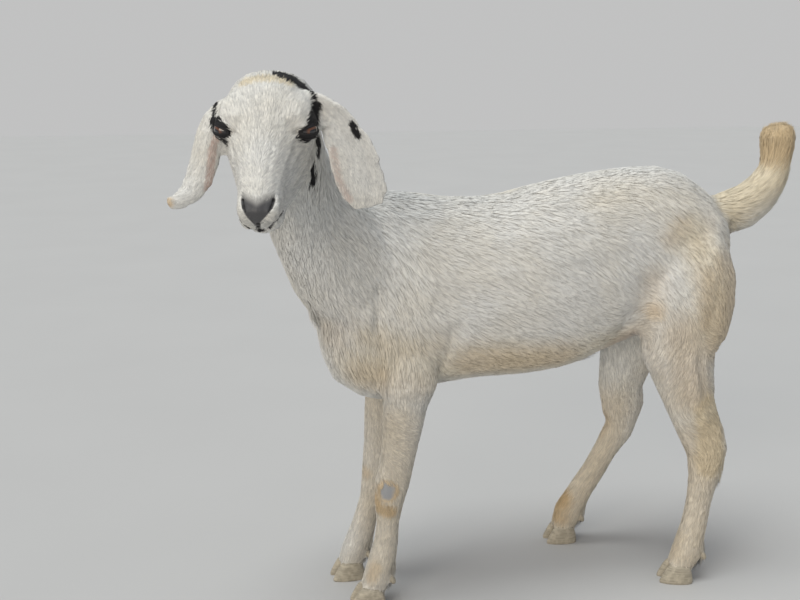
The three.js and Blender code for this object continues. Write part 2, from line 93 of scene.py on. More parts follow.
def to_goat(points):
    """The frame's metres to the goat's own millimetres."""
    return points / MM + SHIFT


def from_goat(points):
    return (np.asarray(points, float) - SHIFT) * MM


def to_head(goat):
    """The goat's millimetres to along the face, across to its left, and out from it."""
    return (goat - EYE_LINE) @ HEAD_AXES.T


def from_head(head):
    return np.asarray(head, float) @ HEAD_AXES + EYE_LINE


# ---------------------------------------------------------------------------
# Tables. A stroke is a line of places with a thickness. "head" places are along,
# across and out in the head; "both" places lie on the left side of the body and are
# mirrored; "left" and "right" places lie on one side only.
# ---------------------------------------------------------------------------

FLESH = (
    "trunk",
    "neck",
    "head",
    "ear_left",
    "ear_right",
    "tail",
    "fore_leg_left",
    "fore_leg_right",
    "hind_leg_left",
    "hind_leg_right",
)
FEET = ("fore_left", "fore_right", "hind_left", "hind_right")
HORNS = tuple(
    f"{foot}_foot_{place}_{kind}"
    for foot in FEET
    for place in ("outer", "inner")
    for kind in ("claw", "dewclaw")
)
PARTS = (*FLESH, *HORNS)

# The coat over each part: its depth over the skin, the length and width of its tufts,
# their number on a square centimetre, and how much single tufts differ in tone and darken
# in painted shade toward their roots.
COAT = {
    "trunk": dict(depth=2.4, length=18, width=0.78, count=33, contrast=0.35),
    "neck": dict(depth=2.3, length=15, width=0.74, count=34, contrast=0.5),
    "head": dict(depth=0.9, length=9.5, width=0.60, count=74, contrast=0.95),
    "ear_left": dict(depth=0.4, length=6.0, width=0.60, count=60, contrast=0.9),
    "ear_right": dict(depth=0.4, length=6.0, width=0.60, count=60, contrast=0.9),
    "tail": dict(depth=4.0, length=24, width=0.85, count=48, contrast=0.45),
    "fore_leg_left": dict(depth=1.4, length=8.5, width=0.66, count=56, contrast=0.7),
    "fore_leg_right": dict(depth=1.4, length=8.5, width=0.66, count=56, contrast=0.7),
    "hind_leg_left": dict(depth=2.0, length=12.5, width=0.74, count=45, contrast=0.65),
    "hind_leg_right": dict(depth=2.0, length=12.5, width=0.74, count=45, contrast=0.65),
}


def mirrored(*strokes):
    """Strokes on the left half of the head, each with the same one on the right half."""
    pairs = []
    for side_frame, line, *rest in strokes:
        pairs.append((side_frame, line, *rest))
        pairs.append((side_frame, tuple((x, -y, z) for x, y, z in line), *rest))
    return tuple(pairs)


# Markings: (frame, places, radius, soft edge, strength)
BLACK = (
    ("head", ((-23, 49.5, 7), (-14, 48, 4)), 6.0, 1.6, 1),
    ("head", ((-10, 48, 4), (2, 45, 3)), 9.8, 1.6, 1),
    ("head", ((6, 42, 3), (9, 40, 3.5)), 7.2, 1.6, 1),
    ("head", ((9, 39, 3.5), (13, 35, 3.5)), 3.6, 1.4, 1),
    ("head", ((-4, 51, -3), (6, 46, -2)), 6.3, 1.4, 1),
    ("head", ((11, 36, 1), (11, 40, -2.5), (9, 44, -4.5), (4, 48, -5.5)), 4.2, 1.4, 1),
    ("head", ((-4, -51, -3), (7, -45, -3)), 5.5, 1.4, 1),
    ("head", ((-59, 12, 15), (-54, 22, 13), (-50, 31, 9), (-47, 38, 4), (-45, 42, 4)), 8.2, 1.2, 1),
    ("head", ((-47, 40, 5), (-42, 43, 11), (-37, 45, 12.6), (-32, 47, 11.6)), 2.8, 1.2, 1),
    ("head", ((-32, 47, 11.6), (-28.5, 49, 9.6), (-25, 50, 7)), 3.0, 1.2, 1),
    ("left", ((-72, -121, 582), (-70, -119, 572), (-70, -117, 564)), 4.8, 1.2, 1),
    ("left", ((-75, -120, 557), (-76, -118, 552), (-76, -117, 547)), 3.4, 1, 1),
    ("left", ((-74, -113, 543), (-73, -111, 538), (-76, -110, 532)), 4.0, 1, 1),
    ("head", ((-2, -47, 4), (6, -40, 5)), 8.8, 1.6, 1),
    ("head", ((-12, -54, -1), (-2, -48, 3)), 4.6, 1.4, 1),
    ("head", ((-34, -54, -2), (-24, -54, -1), (-12, -54, -1)), 2.6, 1.2, 1),
    ("head", ((8, -40, 2), (13, -39, -5)), 4.6, 1.4, 1),
    ("head", ((-9, 86, -4), (-1, 91, -12)), 3.9, 1.2, 1),
)
# Dark lines where no hair grows: the two halves of the mouth's line, partly dark lip skin and partly
# painted shade in its crease, and the groove down from the nose, darker as painted shade in its
# crease. These three meet at the lips.
MOUTH_LEFT = (
    (97, -5, -34),
    (98, 2, -33.4),
    (100.5, 6, -28),
    (102, 9.5, -21.5),
    (101, 13, -16.5),
    (100, 16, -13),
    (96, 19, -12.3),
    (91, 20.3, -14.7),
    (85, 21.3, -17.3),
    (77, 23, -21),
    (66, 26, -28),
)
MOUTH_RIGHT = (
    (97, -5, -34),
    (97, -8, -33.4),
    (101, -10, -25),
    (100, -14, -21),
    (96, -18, -19),
    (89, -21, -20),
    (80, -23.5, -23),
    (66, -26, -29),
)
GROOVE = ((105, 0, -9), (103.5, -1, -15), (100.5, -2.4, -23), (97, -3.6, -35))
# The nostrils are painted black: painted shade in their openings.
NOSTRILS = mirrored(
    ("head", ((85.5, 14.8, 3.2), (90, 14.4, 2.8), (95, 13.2, 3.3)), 1.7, 1.2, 1),
    ("head", ((95, 13.2, 3.3), (99, 11.3, 2.6)), 1.0, 1.2, 1),
    ("head", ((99, 11.3, 2.6), (103, 7.5, -3), (105, 3.5, -9)), 0.6, 1.4, 0.8),
)
LIPS = (
    ("head", GROOVE, 2.3, 1.2, 1),
    ("head", MOUTH_LEFT, 1.8, 1.4, 1),
    ("head", MOUTH_RIGHT, 1.7, 1.4, 1),
)
# The slits paint black over skin and hair: painted shade in the nostrils and, partly, in the mouth's
# crease.
SLITS = NOSTRILS + LIPS
# Tan on the belly, the chest and the legs is partly the hair's own stain and partly painted warm
# light from the floor; down the lower legs the strokes also make the hair darker.
TAN = (
    # Tan, and painted shade of the thigh's crease.
    ("both", ((455, -45, 400), (430, -60, 320)), 34, 50, 0.42),
    ("both", ((380, -80, 330), (400, -70, 260)), 30, 50, 0.42),
    ("both", ((345, -70, 380), (340, -60, 330)), 16, 40, 0.22),
    ("both", ((30, -50, 240), (20, -50, 60)), 30, 40, 0.2),
    ("both", ((420, -60, 200), (405, -60, 40)), 34, 40, 0.28),
    ("both", ((20, -40, 115), (4, -38, 20)), 26, 40, 0.22),
    ("left", ((424, -60, 140), (402, -60, 25)), 28, 40, 0.18),
    ("right", ((340, 82, 120), (296, 85, 25)), 28, 40, 0.22),
    ("right", ((350, 70, 200), (300, 84, 40)), 34, 40, 0.24),
    ("both", ((-45, -30, 380), (-30, -40, 320)), 30, 50, 0.08),
    ("both", ((440, -40, 480), (400, -60, 430)), 10, 30, 0.12),
    ("left", ((347, -60, 361),), 15, 28, 0.6),
    ("left", ((345, -56, 400), (345, -56, 330), (364, -66, 281)), 16, 40, 0.3),
    ("left", ((432, -60, 420), (424, -69, 373), (415, -74, 337)), 12, 28, 0.35),
    # Tan, and painted shade of the thigh's crease.
    ("left", ((412, -62, 400), (410, -74, 345)), 14, 34, 0.5),
    ("left", ((-9, -54, 345), (31, -60, 330), (79, -59, 333)), 16, 36, 0.12),
    ("both", ((318, -34, 312), (345, -56, 345)), 14, 22, 0.3),
    ("both", ((120, -46, 312), (232, -46, 312)), 24, 34, 0.38),
    ("both", ((-10, -40, 300), (50, -50, 285)), 22, 34, 0.30),
    ("left", ((436, -75, 205), (430, -72, 160)), 9, 20, 0.22),
    ("right", ((351, 74, 190), (340, 80, 160)), 14, 22, 0.5),
    ("left", ((15, -59, 153),), 16, 6, 0.7),
    ("left", ((364, -54, 450), (382, -49, 466)), 12, 26, 0.28),
    ("left", ((2, -44, 142), (8, -48, 130), (21, -54, 126)), 9, 9, 0.8),
    ("left", ((2, -40, 150), (30, -40, 125)), 12, 14, 0.45),
    ("right", ((7, 36, 143),), 10, 14, 0.5),
    ("left", ((2, -50, 52), (-2, -50, 40)), 10, 14, 0.5),
    ("right", ((298, 84, 62), (294, 84, 38)), 16, 18, 0.9),
    ("left", ((404, -60, 58), (400, -60, 34)), 16, 16, 0.35),
    ("both", ((470, 0, 440), (455, -30, 400)), 14, 18, 0.18),
    ("both", ((533, 0, 550), (531, 0, 600)), 30, 26, 0.68),
    ("both", ((500, 0, 470), (525, 0, 500)), 18, 20, 0.10),
    ("head", ((68, -97, -30),), 6, 6, 0.7),
    ("both", ((-42, -30, 350),), 22, 26, 0.2),
)
# Cream on the belly, the chest and the legs is partly the hair's own colour and partly painted warm
# light from the floor.
YELLOW = (
    ("head", ((-46, -24, 15), (-48, 0, 20), (-46, 22, 15)), 6, 7, 0.9),
    ("both", ((60, 0, 512), (180, 0, 508)), 5, 14, 0.35),
    ("both", ((470, 0, 480), (528, 0, 520), (532, 0, 586)), 30, 26, 0.8),
    ("both", ((-10, -40, 310), (300, -40, 310)), 30, 40, 0.5),
    ("left", ((425, -72, 232), (430, -72, 165)), 21, 24, 1),
    ("left", ((446, -60, 168), (448, -60, 145)), 10, 8, 1),
    ("both", ((254, 0, 293), (280, 0, 297)), 12, 6, 1),
    ("both", ((398, -60, 450), (425, -66, 400), (425, -68, 330)), 26, 44, 0.6),
    ("left", ((-9, -54, 345), (31, -60, 330), (79, -59, 333)), 16, 40, 0.45),
    ("left", ((280, -42, 497), (388, -32, 505)), 18, 44, 0.2),
    ("both", ((30, -50, 240), (20, -50, 60)), 30, 40, 0.3),
    ("left", ((420, -60, 200), (405, -60, 40)), 34, 40, 0.35),
    ("right", ((372, 96, 290), (350, 84, 150), (300, 84, 40)), 34, 40, 0.5),
)
PINK = (
    ("head", ((4, -50, -4), (16, -54, -13), (34, -56, -25), (48, -60, -36)), 4.5, 3, 0.8),
    ("head", ((8, 66, -24), (30, 71, -44), (46, 82, -58)), 4, 4, 0.5),
    ("head", ((97, 13, -26), (101, 0, -33), (97, -13, -26)), 3, 4, 0.35),
    ("both", ((300, -15, 300), (330, -25, 330)), 16, 14, 0.35),
)
# The nose's bare pad: its top edge and the way down it, both along, across and out from
# the face, then half its width at some distances down.
NOSE_TOP = (82, 0, 8)
NOSE_DOWN = (0.87, 0, -0.5)
NOSE_DROP = (3.0, 6.0, 10.0, 16.0, 20.0, 23.0, 26.0, 29.0, 31.0)
NOSE_HALF = (15.0, 15.5, 14.5, 12.2, 10.0, 7.5, 4.5, 2.0, 0.0)
BARE = (("left", ((15, -58, 150), (16, -57, 157)), 9.0, 2.5, 1),)

# Longer hair: (frame, places, radius, soft edge, extra length in millimetres)
LONG = (
    ("both", ((-35, -20, 350), (10, -40, 285)), 30, 25, 5),
    ("both", ((60, -20, 272), (290, -20, 305)), 22, 28, 6),
    ("both", ((470, -20, 440), (455, -50, 350), (440, -55, 290)), 22, 25, 6),
    ("both", ((450, -55, 215), (350, -55, 280)), 8, 14, 4),
    ("both", ((533, 0, 540), (532, 0, 590)), 26, 18, 12),
    ("both", ((254, 0, 293), (280, 0, 299)), 10, 10, 6),
    ("left", ((20, -38, 52), (24, -38, 36)), 13, 8, 7),
    ("right", ((3, 38, 52), (7, 38, 36)), 13, 8, 7),
    ("left", ((424, -60, 55), (428, -60, 38)), 13, 8, 8),
    ("right", ((316, 85, 55), (320, 85, 38)), 13, 8, 8),
    ("left", ((446, -60, 165), (444, -60, 148)), 10, 10, 4),
    ("left", ((-70, -30, 386), (-66, -22, 370)), 6, 6, 5),
    ("head", ((-66, 0, 5), (-62, 0, 15)), 14, 18, 4),
    ("head", ((60, 0, -62), (90, 0, -50)), 10, 12, 2),
)
# Hair that stands away from the body: (frame, places, radius, soft edge, way, amount)
STANDING = (
    ("both", ((531, 0, 555), (532, 0, 585)), 22, 18, (0.1, 0.0, 1.0), 0.18),
    ("both", ((500, 0, 476), (520, 0, 505)), 20, 16, (0.7, 0.0, 0.2), 0.30),
    ("both", ((258, 0, 293), (278, 0, 299)), 9, 8, (0.5, 0.0, -0.9), 0.45),
    ("left", ((24, -38, 52), (28, -38, 34)), 10, 8, (0.6, 0.0, -0.8), 0.5),
    ("right", ((7, 38, 52), (11, 38, 34)), 10, 8, (0.6, 0.0, -0.8), 0.5),
    ("left", ((428, -60, 55), (432, -60, 36)), 10, 8, (0.6, 0.0, -0.8), 0.5),
    ("right", ((320, 85, 55), (324, 85, 36)), 10, 8, (0.6, 0.0, -0.8), 0.5),
    ("left", ((446, -60, 165), (446, -60, 148)), 9, 9, (0.7, 0.0, -0.6), 0.45),
    ("both", ((470, -20, 430), (460, -45, 350)), 12, 16, (0.6, 0.0, -0.7), 0.22),
    ("head", ((-48, -20, 15), (-50, 0, 18), (-48, 20, 15)), 5, 6, (0.0, -0.3, 1.0), 0.12),
    ("left", ((-70, -30, 386), (-66, -22, 370)), 6, 6, (-0.8, -0.3, -0.6), 0.6),
)

# Modelled relief: (frame, places, width, height; a negative height is a groove)
RELIEF = (
    *mirrored(
        ("head", ((86.5, 14.4, 3), (93, 13.4, 3.4), (97, 12.2, 3)), 1.8, -4.5),
        ("head", ((97, 12.2, 3), (102, 8.5, 0)), 1.4, -1.8),
        ("head", ((84, 19, 1), (93, 18, -1), (100, 14, -5)), 3.5, 1.6),
    ),
    ("head", ((90, 0, 8), (100, 0, 2)), 6, 1.2),
    ("head", GROOVE, 1.5, -1.8),
    ("head", MOUTH_LEFT, 1.7, -2.2),
    ("head", MOUTH_RIGHT, 1.7, -2.2),
    *mirrored(
        ("head", ((30, 33, 4), (52, 27, -4), (70, 22, -10)), 5, -1.2),
        ("head", ((16, 42, -30), (40, 36, -34)), 6, 1.5),
        ("head", ((16, 37, 8), (26, 33, 3)), 3, -1.2),
    ),
    ("head", ((-8, 92, -4), (12, 99, -27), (37, 106, -53)), 4.5, -1.6),
    ("left", ((395, -78, 300), (404, -78, 255), (420, -76, 222)), 6, 3.0),
    ("right", ((372, 100, 300), (372, 96, 255), (372, 92, 222)), 5, 2.5),
    ("both", ((468, -12, 470), (470, -30, 420), (462, -45, 370), (445, -55, 300)), 9, -5),
    ("both", ((445, -40, 470), (425, -60, 420), (400, -72, 360)), 16, 3),
    ("both", ((95, -64, 352), (92, -60, 330), (84, -54, 303)), 8, -4),
    ("both", ((60, -66, 390), (55, -62, 350), (48, -56, 310)), 14, 2),
    ("both", ((8, -62, 400), (4, -60, 352), (11, -57, 324), (13, -48, 292)), 7, -4.5),
    ("both", ((338, -62, 400), (322, -54, 350), (308, -40, 322)), 14, -4),
    ("left", ((440, -62, 250), (446, -62, 215)), 5, -2.5),
    ("right", ((388, 76, 250), (392, 76, 215)), 5, -2.5),
    ("both", ((-52, -12, 360), (-30, -16, 310)), 8, 2.5),
    ("both", ((-40, 0, 345), (-5, 0, 290)), 9, -3),
    ("both", ((524, 0, 618), (544, 0, 616)), 17, -15),
)

# The lie of the coat: place, then the way the hair points.
LIE_BODY = (
    ((-50, -10, 440), (0.25, 0.0, -1.0)),
    ((-55, -10, 380), (0.1, 0.0, -1.0)),
    ((-45, -25, 330), (0.3, 0.0, -0.9)),
    ((-20, -45, 300), (0.5, 0.0, -0.8)),
    ((-15, -45, 400), (0.5, 0.0, -0.8)),
    ((10, 0, 500), (1.0, 0.0, -0.25)),
    ((30, -35, 480), (0.8, -0.1, -0.6)),
    ((30, -60, 420), (0.55, 0.0, -0.8)),
    ((20, -62, 360), (0.35, 0.0, -0.95)),
    ((30, -58, 310), (0.1, 0.0, -1.0)),
    ((80, -62, 330), (0.75, 0.0, -0.6)),
    ((80, 0, 515), (1.0, 0.0, -0.05)),
    ((90, -45, 480), (0.9, -0.05, -0.4)),
    ((100, -68, 400), (0.85, 0.0, -0.5)),
    ((110, -60, 320), (0.9, 0.0, -0.35)),
    ((110, -20, 272), (1.0, 0.15, -0.1)),
    ((180, 0, 508), (1.0, 0.0, 0.0)),
    ((180, -55, 470), (0.9, -0.05, -0.35)),
    ((180, -75, 400), (0.85, 0.0, -0.5)),
    ((180, -65, 320), (0.85, 0.0, -0.45)),
    ((180, -20, 274), (1.0, 0.15, -0.1)),
    ((260, 0, 522), (1.0, 0.0, 0.0)),
    ((260, -50, 480), (0.9, 0.0, -0.35)),
    ((260, -74, 400), (0.85, 0.0, -0.5)),
    ((260, -60, 330), (0.8, 0.0, -0.3)),
    ((260, -15, 295), (1.0, 0.1, -0.1)),
    ((320, -62, 400), (0.75, 0.0, -0.6)),
    ((325, -50, 345), (0.8, 0.0, 0.35)),
    ((345, 0, 530), (1.0, 0.0, 0.05)),
    ((350, -45, 490), (0.85, -0.05, -0.5)),
    ((360, -72, 420), (0.6, 0.0, -0.8)),
    ((365, -78, 360), (0.45, 0.0, -0.9)),
    ((420, 0, 515), (1.0, 0.0, -0.2)),
    ((425, -40, 480), (0.8, 0.0, -0.6)),
    ((440, -50, 420), (0.4, 0.0, -0.9)),
    ((445, -55, 350), (0.15, 0.0, -1.0)),
    ((468, -15, 440), (0.1, -0.1, -1.0)),
    ((466, 0, 400), (0.0, 0.0, -1.0)),
    ((538, 0, 612), (0.8, 0.0, 0.2)),
    ((22, -56, 246), (0.7, -0.4, -0.2)),
    ((31, -59, 229), (0.95, -0.2, -0.2)),
    ((44, -57, 225), (0.9, 0.2, -0.2)),
    ((26, -57, 209), (0.9, -0.3, -0.35)),
    ((20, -54, 191), (0.75, -0.4, -0.5)),
    ((17, -53, 176), (0.5, -0.4, -0.75)),
    ((34, -56, 167), (0.7, 0.2, -0.7)),
    ((60, -48, 220), (0.2, 0.3, -0.9)),
    ((0, -50, 220), (0.3, -0.3, -0.9)),
)
# The left hind leg; the right one has the same, HIND_STEP away from its mirror image.
HIND_STEP = (-45, 12)
LIE_HIND = (
    ((371, -72, 319), (-0.35, 0.0, -0.9)),
    ((358, -67, 300), (-0.4, 0.2, -0.87)),
    ((386, -75, 301), (-0.45, 0.0, -0.87)),
    ((380, -72, 277), (-0.45, 0.1, -0.87)),
    ((368, -68, 277), (-0.3, 0.3, -0.9)),
    ((403, -74, 255), (-0.4, 0.0, -0.9)),
    ((410, -76, 300), (-0.1, 0.0, -1.0)),
    ((422, -73, 322), (0.9, 0.2, -0.4)),
    ((424, -71, 300), (0.85, 0.3, -0.4)),
    ((425, -68, 270), (0.85, 0.25, -0.45)),
    ((420, -74, 238), (0.8, 0.2, -0.55)),
    ((438, -55, 260), (0.2, 0.3, -0.9)),
    ((385, -58, 208), (-0.2, 0.0, -1.0)),
    ((392, -65, 213), (0.7, -0.4, -0.55)),
    ((409, -72, 213), (0.9, -0.1, -0.45)),
    ((405, -64, 181), (0.65, -0.4, -0.6)),
    ((419, -73, 195), (0.35, 0.0, -0.94)),
    ((439, -71, 192), (0.3, 0.0, -0.95)),
    ((436, -73, 164), (-0.4, 0.0, -0.9)),
)
LIE_NECK = (
    ((-100, -60, 590), (0.6, 0.55, -0.55)),
    ((-75, -20, 560), (0.55, 0.5, -0.7)),
    ((-40, 0, 520), (0.7, 0.3, -0.6)),
    ((-110, -95, 520), (0.3, 0.55, -0.8)),
    ((-80, -85, 480), (0.25, 0.4, -0.9)),
    ((-60, -60, 430), (0.2, 0.1, -1.0)),
    ((-130, -70, 520), (0.1, 0.5, -0.9)),
    ((-100, -20, 470), (0.25, 0.3, -0.9)),
    ((-60, 20, 470), (0.5, 0.15, -0.8)),
    ((-40, -60, 480), (0.6, 0.25, -0.7)),
    ((-72, -120, 572), (0.05, 0.1, -1.0)),
    ((-72, -116, 560), (0.0, 0.1, -1.0)),
    ((-75, -118, 548), (-0.05, 0.1, -1.0)),
    ((-74, -111, 535), (0.0, 0.1, -1.0)),
)
# In the head's own directions, for its left half.
LIE_HEAD = (
    ((96, 6, -14), (0.2, 0.9, -0.5)),
    ((98, 10, -20), (0.2, 0.8, -0.6)),
    ((84, 4, 10), (-0.8, 0.5, 0.2)),
    ((84, 18, 2), (-0.7, 0.6, -0.3)),
    ((84, 22, -16), (-0.7, 0.3, -0.6)),
    ((95, 6, -38), (-0.6, 0.4, -0.6)),
    ((70, 5, 12), (-0.75, 0.65, 0.0)),
    ((66, 22, 0), (-0.7, 0.6, -0.4)),
    ((60, 26, -20), (-0.85, 0.2, -0.5)),
    ((48, 4, 14), (-0.8, 0.6, 0.0)),
    ((46, 26, 2), (-0.75, 0.5, -0.4)),
    ((40, 34, -25), (-0.85, 0.1, -0.5)),
    ((24, 4, 19), (-0.9, 0.4, 0.1)),
    ((24, 30, 10), (-0.85, 0.45, -0.2)),
    ((18, 42, -25), (-0.85, 0.1, -0.55)),
    ((0, 4, 24), (-1.0, 0.15, 0.1)),
    ((-4, 28, 22), (-0.95, 0.3, 0.0)),
    ((-10, 48, -20), (-0.9, 0.1, -0.5)),
    ((-28, 4, 25), (-1.0, 0.08, 0.0)),
    ((-30, 32, 20), (-0.95, 0.3, -0.1)),
    ((-36, 48, -10), (-0.8, 0.2, -0.5)),
    ((-58, 0, 14), (-0.8, 0.1, -0.6)),
    ((-60, 28, 0), (-0.6, 0.3, -0.8)),
    ((40, 8, -66), (-0.95, 0.1, -0.1)),
    ((0, 10, -78), (-0.9, 0.1, -0.3)),
    ((-30, 35, -60), (-0.7, 0.1, -0.7)),
)
# Middles of the ears, the tail and the legs: the hair points to the end of the line.
EAR_LINES = (
    (
        (-99, -138, 619),
        (-62, -156, 603),
        (-46, -161, 583),
        (-35, -163, 560),
        (-25, -162, 519),
        (-24, -161, 505),
    ),
    (
        (-154, -122, 616),
        (-180, -134, 594),
        (-186, -139, 577),
        (-191, -142, 558),
        (-208, -149, 526),
        (-232, -154, 520),
    ),
)
LIE_LINES = (
    *EAR_LINES,
    ((440, 0, 470), (489, 0, 478), (513, 0, 495), (530, 0, 522), (534, 0, 550), (532, 0, 600)),
    ((44, -49, 290), (34, -44, 205), (24, -42, 152), (18, -39, 82), (4, -38, 27), (-2, -38, 5)),
    ((42, 49, 290), (28, 45, 205), (25, 43, 152), (7, 41, 82), (-13, 38, 27), (-20, 38, 5)),
    ((412, -56, 240), (432, -59, 170), (421, -60, 84), (405, -60, 28), (399, -60, 5)),
    ((371, 66, 262), (377, 74, 170), (330, 82, 84), (297, 85, 28), (293, 85, 5)),
)


# ---------------------------------------------------------------------------
# Measuring against the tables
# ---------------------------------------------------------------------------


def unit(vectors):
    length = np.linalg.norm(vectors, axis=-1, keepdims=True)
    return vectors / np.maximum(length, 1e-12)


def smooth_step(value):
    value = np.clip(value, 0.0, 1.0)
    return value * value * (3 - 2 * value)


def along_surface(ways, normals):
    """The ways, turned to lie along the surface."""
    return unit(ways - normals * np.sum(ways * normals, axis=1, keepdims=True))


def fade(value, end, run):
    """1 well inside an end, falling to 0 at it over a run."""
    return smooth_step((end - value) / run)


def line_distance(points, line):
    """Distance from each point to a line of places, or to a single place."""
    line = np.asarray(line, float)
    nearest = np.linalg.norm(points - line[0], axis=1)
    for start, end in zip(line[:-1], line[1:]):
        run = end - start
        share = np.clip((points - start) @ run / (run @ run), 0.0, 1.0)
        gap = np.linalg.norm(points - start - share[:, None] * run, axis=1)
        nearest = np.minimum(nearest, gap)
    return nearest


def stroke_distance(goat, head, side_frame, line):
    """Distance to a stroke in its own frame; a side that it doesn't lie on is far."""
    if side_frame == "head":
        return line_distance(head, line)
    if side_frame == "both":
        folded = goat.copy()
        folded[:, 1] = -np.abs(folded[:, 1])
        return line_distance(folded, line)
    return line_distance(goat, line)


def coverage(goat, strokes):
    """How strongly a set of strokes covers each point."""
    head = to_head(goat)
    total = np.zeros(len(goat))
    for side_frame, line, radius, soft, amount in strokes:
        gap = stroke_distance(goat, head, side_frame, line)
        total = np.maximum(total, amount * smooth_step((radius + soft / 2 - gap) / soft))
    return total


def nose_pad(goat):
    """The pad of the nose: how dark each point of it is, and where it grows no hair."""
    head = to_head(goat)
    drop = (head - NOSE_TOP) @ NOSE_DOWN
    across = np.abs(head[:, 1] + 0.12 * np.maximum(drop - 12, 0))
    half = np.interp(drop, NOSE_DROP, NOSE_HALF)
    pad = (head[:, 0] > 78) & (head[:, 2] > -22) & (across < 20)
    dark = smooth_step((half + 1.8 - across) / 1.6) * smooth_step((drop - 1 + across * 0.5) / 14)
    return dark * pad, pad & (across < half - 0.6) & (drop > 12 - across * 0.5)


def standing(goat):
    """How far and which way the hair at each point stands off."""
    head = to_head(goat)
    total = np.zeros((len(goat), 3))
    for side_frame, line, radius, soft, way, amount in STANDING:
        gap = stroke_distance(goat, head, side_frame, line)
        share = amount * smooth_step((radius + soft / 2 - gap) / soft)
        total += share[:, None] * unit(np.array(way))
    return total


def relief(goat):
    """Height of the modelled folds and ridges at each point, in millimetres."""
    head = to_head(goat)
    total = np.zeros(len(goat))
    for side_frame, line, width, height in RELIEF:
        gap = stroke_distance(goat, head, side_frame, line)
        total += height * np.exp(-((gap / width) ** 2))
    return total


def lie_guides():
    """All places with a known lie of the coat, and the lie there."""
    places, ways = [], []
    for place, way in LIE_BODY:
        for side in (1, -1):
            places.append((place[0], place[1] * side, place[2]))
            ways.append((way[0], way[1] * side, way[2]))
    for place, way in LIE_HIND:
        places.append(place)
        ways.append(way)
        places.append((place[0] + HIND_STEP[0], HIND_STEP[1] - place[1], place[2]))
        ways.append((way[0], -way[1], way[2]))
    for place, way in LIE_NECK:
        places.append(place)
        ways.append(way)
    for place, way in LIE_HEAD:
        for side in (1, -1):
            places.append(from_head((place[0], place[1] * side, place[2])))
            ways.append(np.array((way[0], way[1] * side, way[2])) @ HEAD_AXES)
    for line in LIE_LINES:
        corners = np.array(line, float)
        for start, end in zip(corners[:-1], corners[1:]):
            for share in (0.0, 0.33, 0.66):
                places.append(start + (end - start) * share)
                ways.append(end - start)
    return np.array(places, float), unit(np.array(ways, float))


LIE_BLUR = 30.0  # square millimetres; keeps a guide from ruling its own place alone


def lie_of_coat(goat, normals):
    """The way the hair points at each point, along the surface."""
    places, ways = lie_guides()
    flow = np.zeros_like(goat)
    for place, way in zip(places, ways):
        weight = 1.0 / (np.sum((goat - place) ** 2, axis=1) + LIE_BLUR) ** 2
        flow += weight[:, None] * way
    return along_surface(unit(flow), normals)


# ---------------------------------------------------------------------------
# Meshes and objects
# ---------------------------------------------------------------------------


def add_object(name, mesh):
    made = bpy.data.objects.new(name, mesh)
    bpy.context.scene.collection.objects.link(made)
    return made


def mesh_arrays(mesh):
    points = np.empty(len(mesh.vertices) * 3, np.float32)
    mesh.vertices.foreach_get("co", points)
    normals = np.empty(len(mesh.vertices) * 3, np.float32)
    mesh.vertices.foreach_get("normal", normals)
    return points.reshape(-1, 3).astype(float), normals.reshape(-1, 3).astype(float)


def put_points(mesh, points):
    mesh.vertices.foreach_set("co", points.astype(np.float32).ravel())
    mesh.update()


def store(mesh, name, values):
    """Keeps a number or a vector for each vertex under a name."""
    values = np.asarray(values, np.float32)
    kind, field = ("FLOAT", "value") if values.ndim == 1 else ("FLOAT_VECTOR", "vector")
    attribute = mesh.attributes.get(name) or mesh.attributes.new(name, kind, "POINT")
    attribute.data.foreach_set(field, values.ravel())


def stored(mesh, name, width=1):
    attribute = mesh.attributes[name]
    values = np.empty(len(attribute.data) * width, np.float32)
    attribute.data.foreach_get("value" if width == 1 else "vector", values)
    return values if width == 1 else values.reshape(-1, width)


def apply_modifiers(made):
    """Bakes an object's modifiers into a fresh mesh."""
    graph = bpy.context.evaluated_depsgraph_get()
    mesh = bpy.data.meshes.new_from_object(made.evaluated_get(graph))
    made.modifiers.clear()
    made.data = mesh
    return mesh


class Neighbours:
    """Which vertices of a mesh share an edge."""

    def __init__(self, mesh):
        edges = np.empty(len(mesh.edges) * 2, np.int32)
        mesh.edges.foreach_get("vertices", edges)
        self.first, self.second = edges.reshape(-1, 2).T
        self.total = len(mesh.vertices)
        self.count = np.maximum(np.bincount(edges, minlength=self.total), 1)

    def mean(self, values):
        """The mean of a value over each vertex's neighbours."""
        total = np.bincount(self.first, values[self.second], self.total)
        total += np.bincount(self.second, values[self.first], self.total)
        return total / self.count


def ease(mesh, rounds):
    """Smooths a mesh without shrinking it: each round relaxes, then swells back."""
    points, _ = mesh_arrays(mesh)
    near = Neighbours(mesh)
    for _ in range(rounds):
        for factor in (RELAX, -RELAX * SWELL):
            means = np.stack([near.mean(points[:, axis]) for axis in range(3)], axis=1)
            points += factor * (means - points)
    put_points(mesh, points)


def finish_piece(made, replaced=()):
    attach(made, BODY)
    if replaced:
        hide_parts(*replaced)


# ---------------------------------------------------------------------------
# Eyes and lids
# ---------------------------------------------------------------------------

LID_LENGTH = 11.0  # half the opening between the lids
LID_HEIGHT = 2.95
LID_DROP = 0.8  # the opening lies this far below the middle of the eye
EYE_LOOK = (0.36, 0.80, 0.48)
EYE_SLANT = (0.74, 0.0, 0.67)  # the way of the opening, along and out from the face
SOCKET_REACH = 2.2  # in radii of the eyeball
# Depth of the skin behind the eyeball, then its height over it at the lids and round them.
TUCK, SEAT, COVER = 3.5, 0.9, 0.6
# Where each of these ends, as a share of the opening, and over what share it fades.
OPEN, SEATED, COVERED = (1.42, 0.25), (2.3, 0.7), (3.6, 1.2)
HAIRLESS_SHARE, HAIRLESS_REACH = 1.62, 17


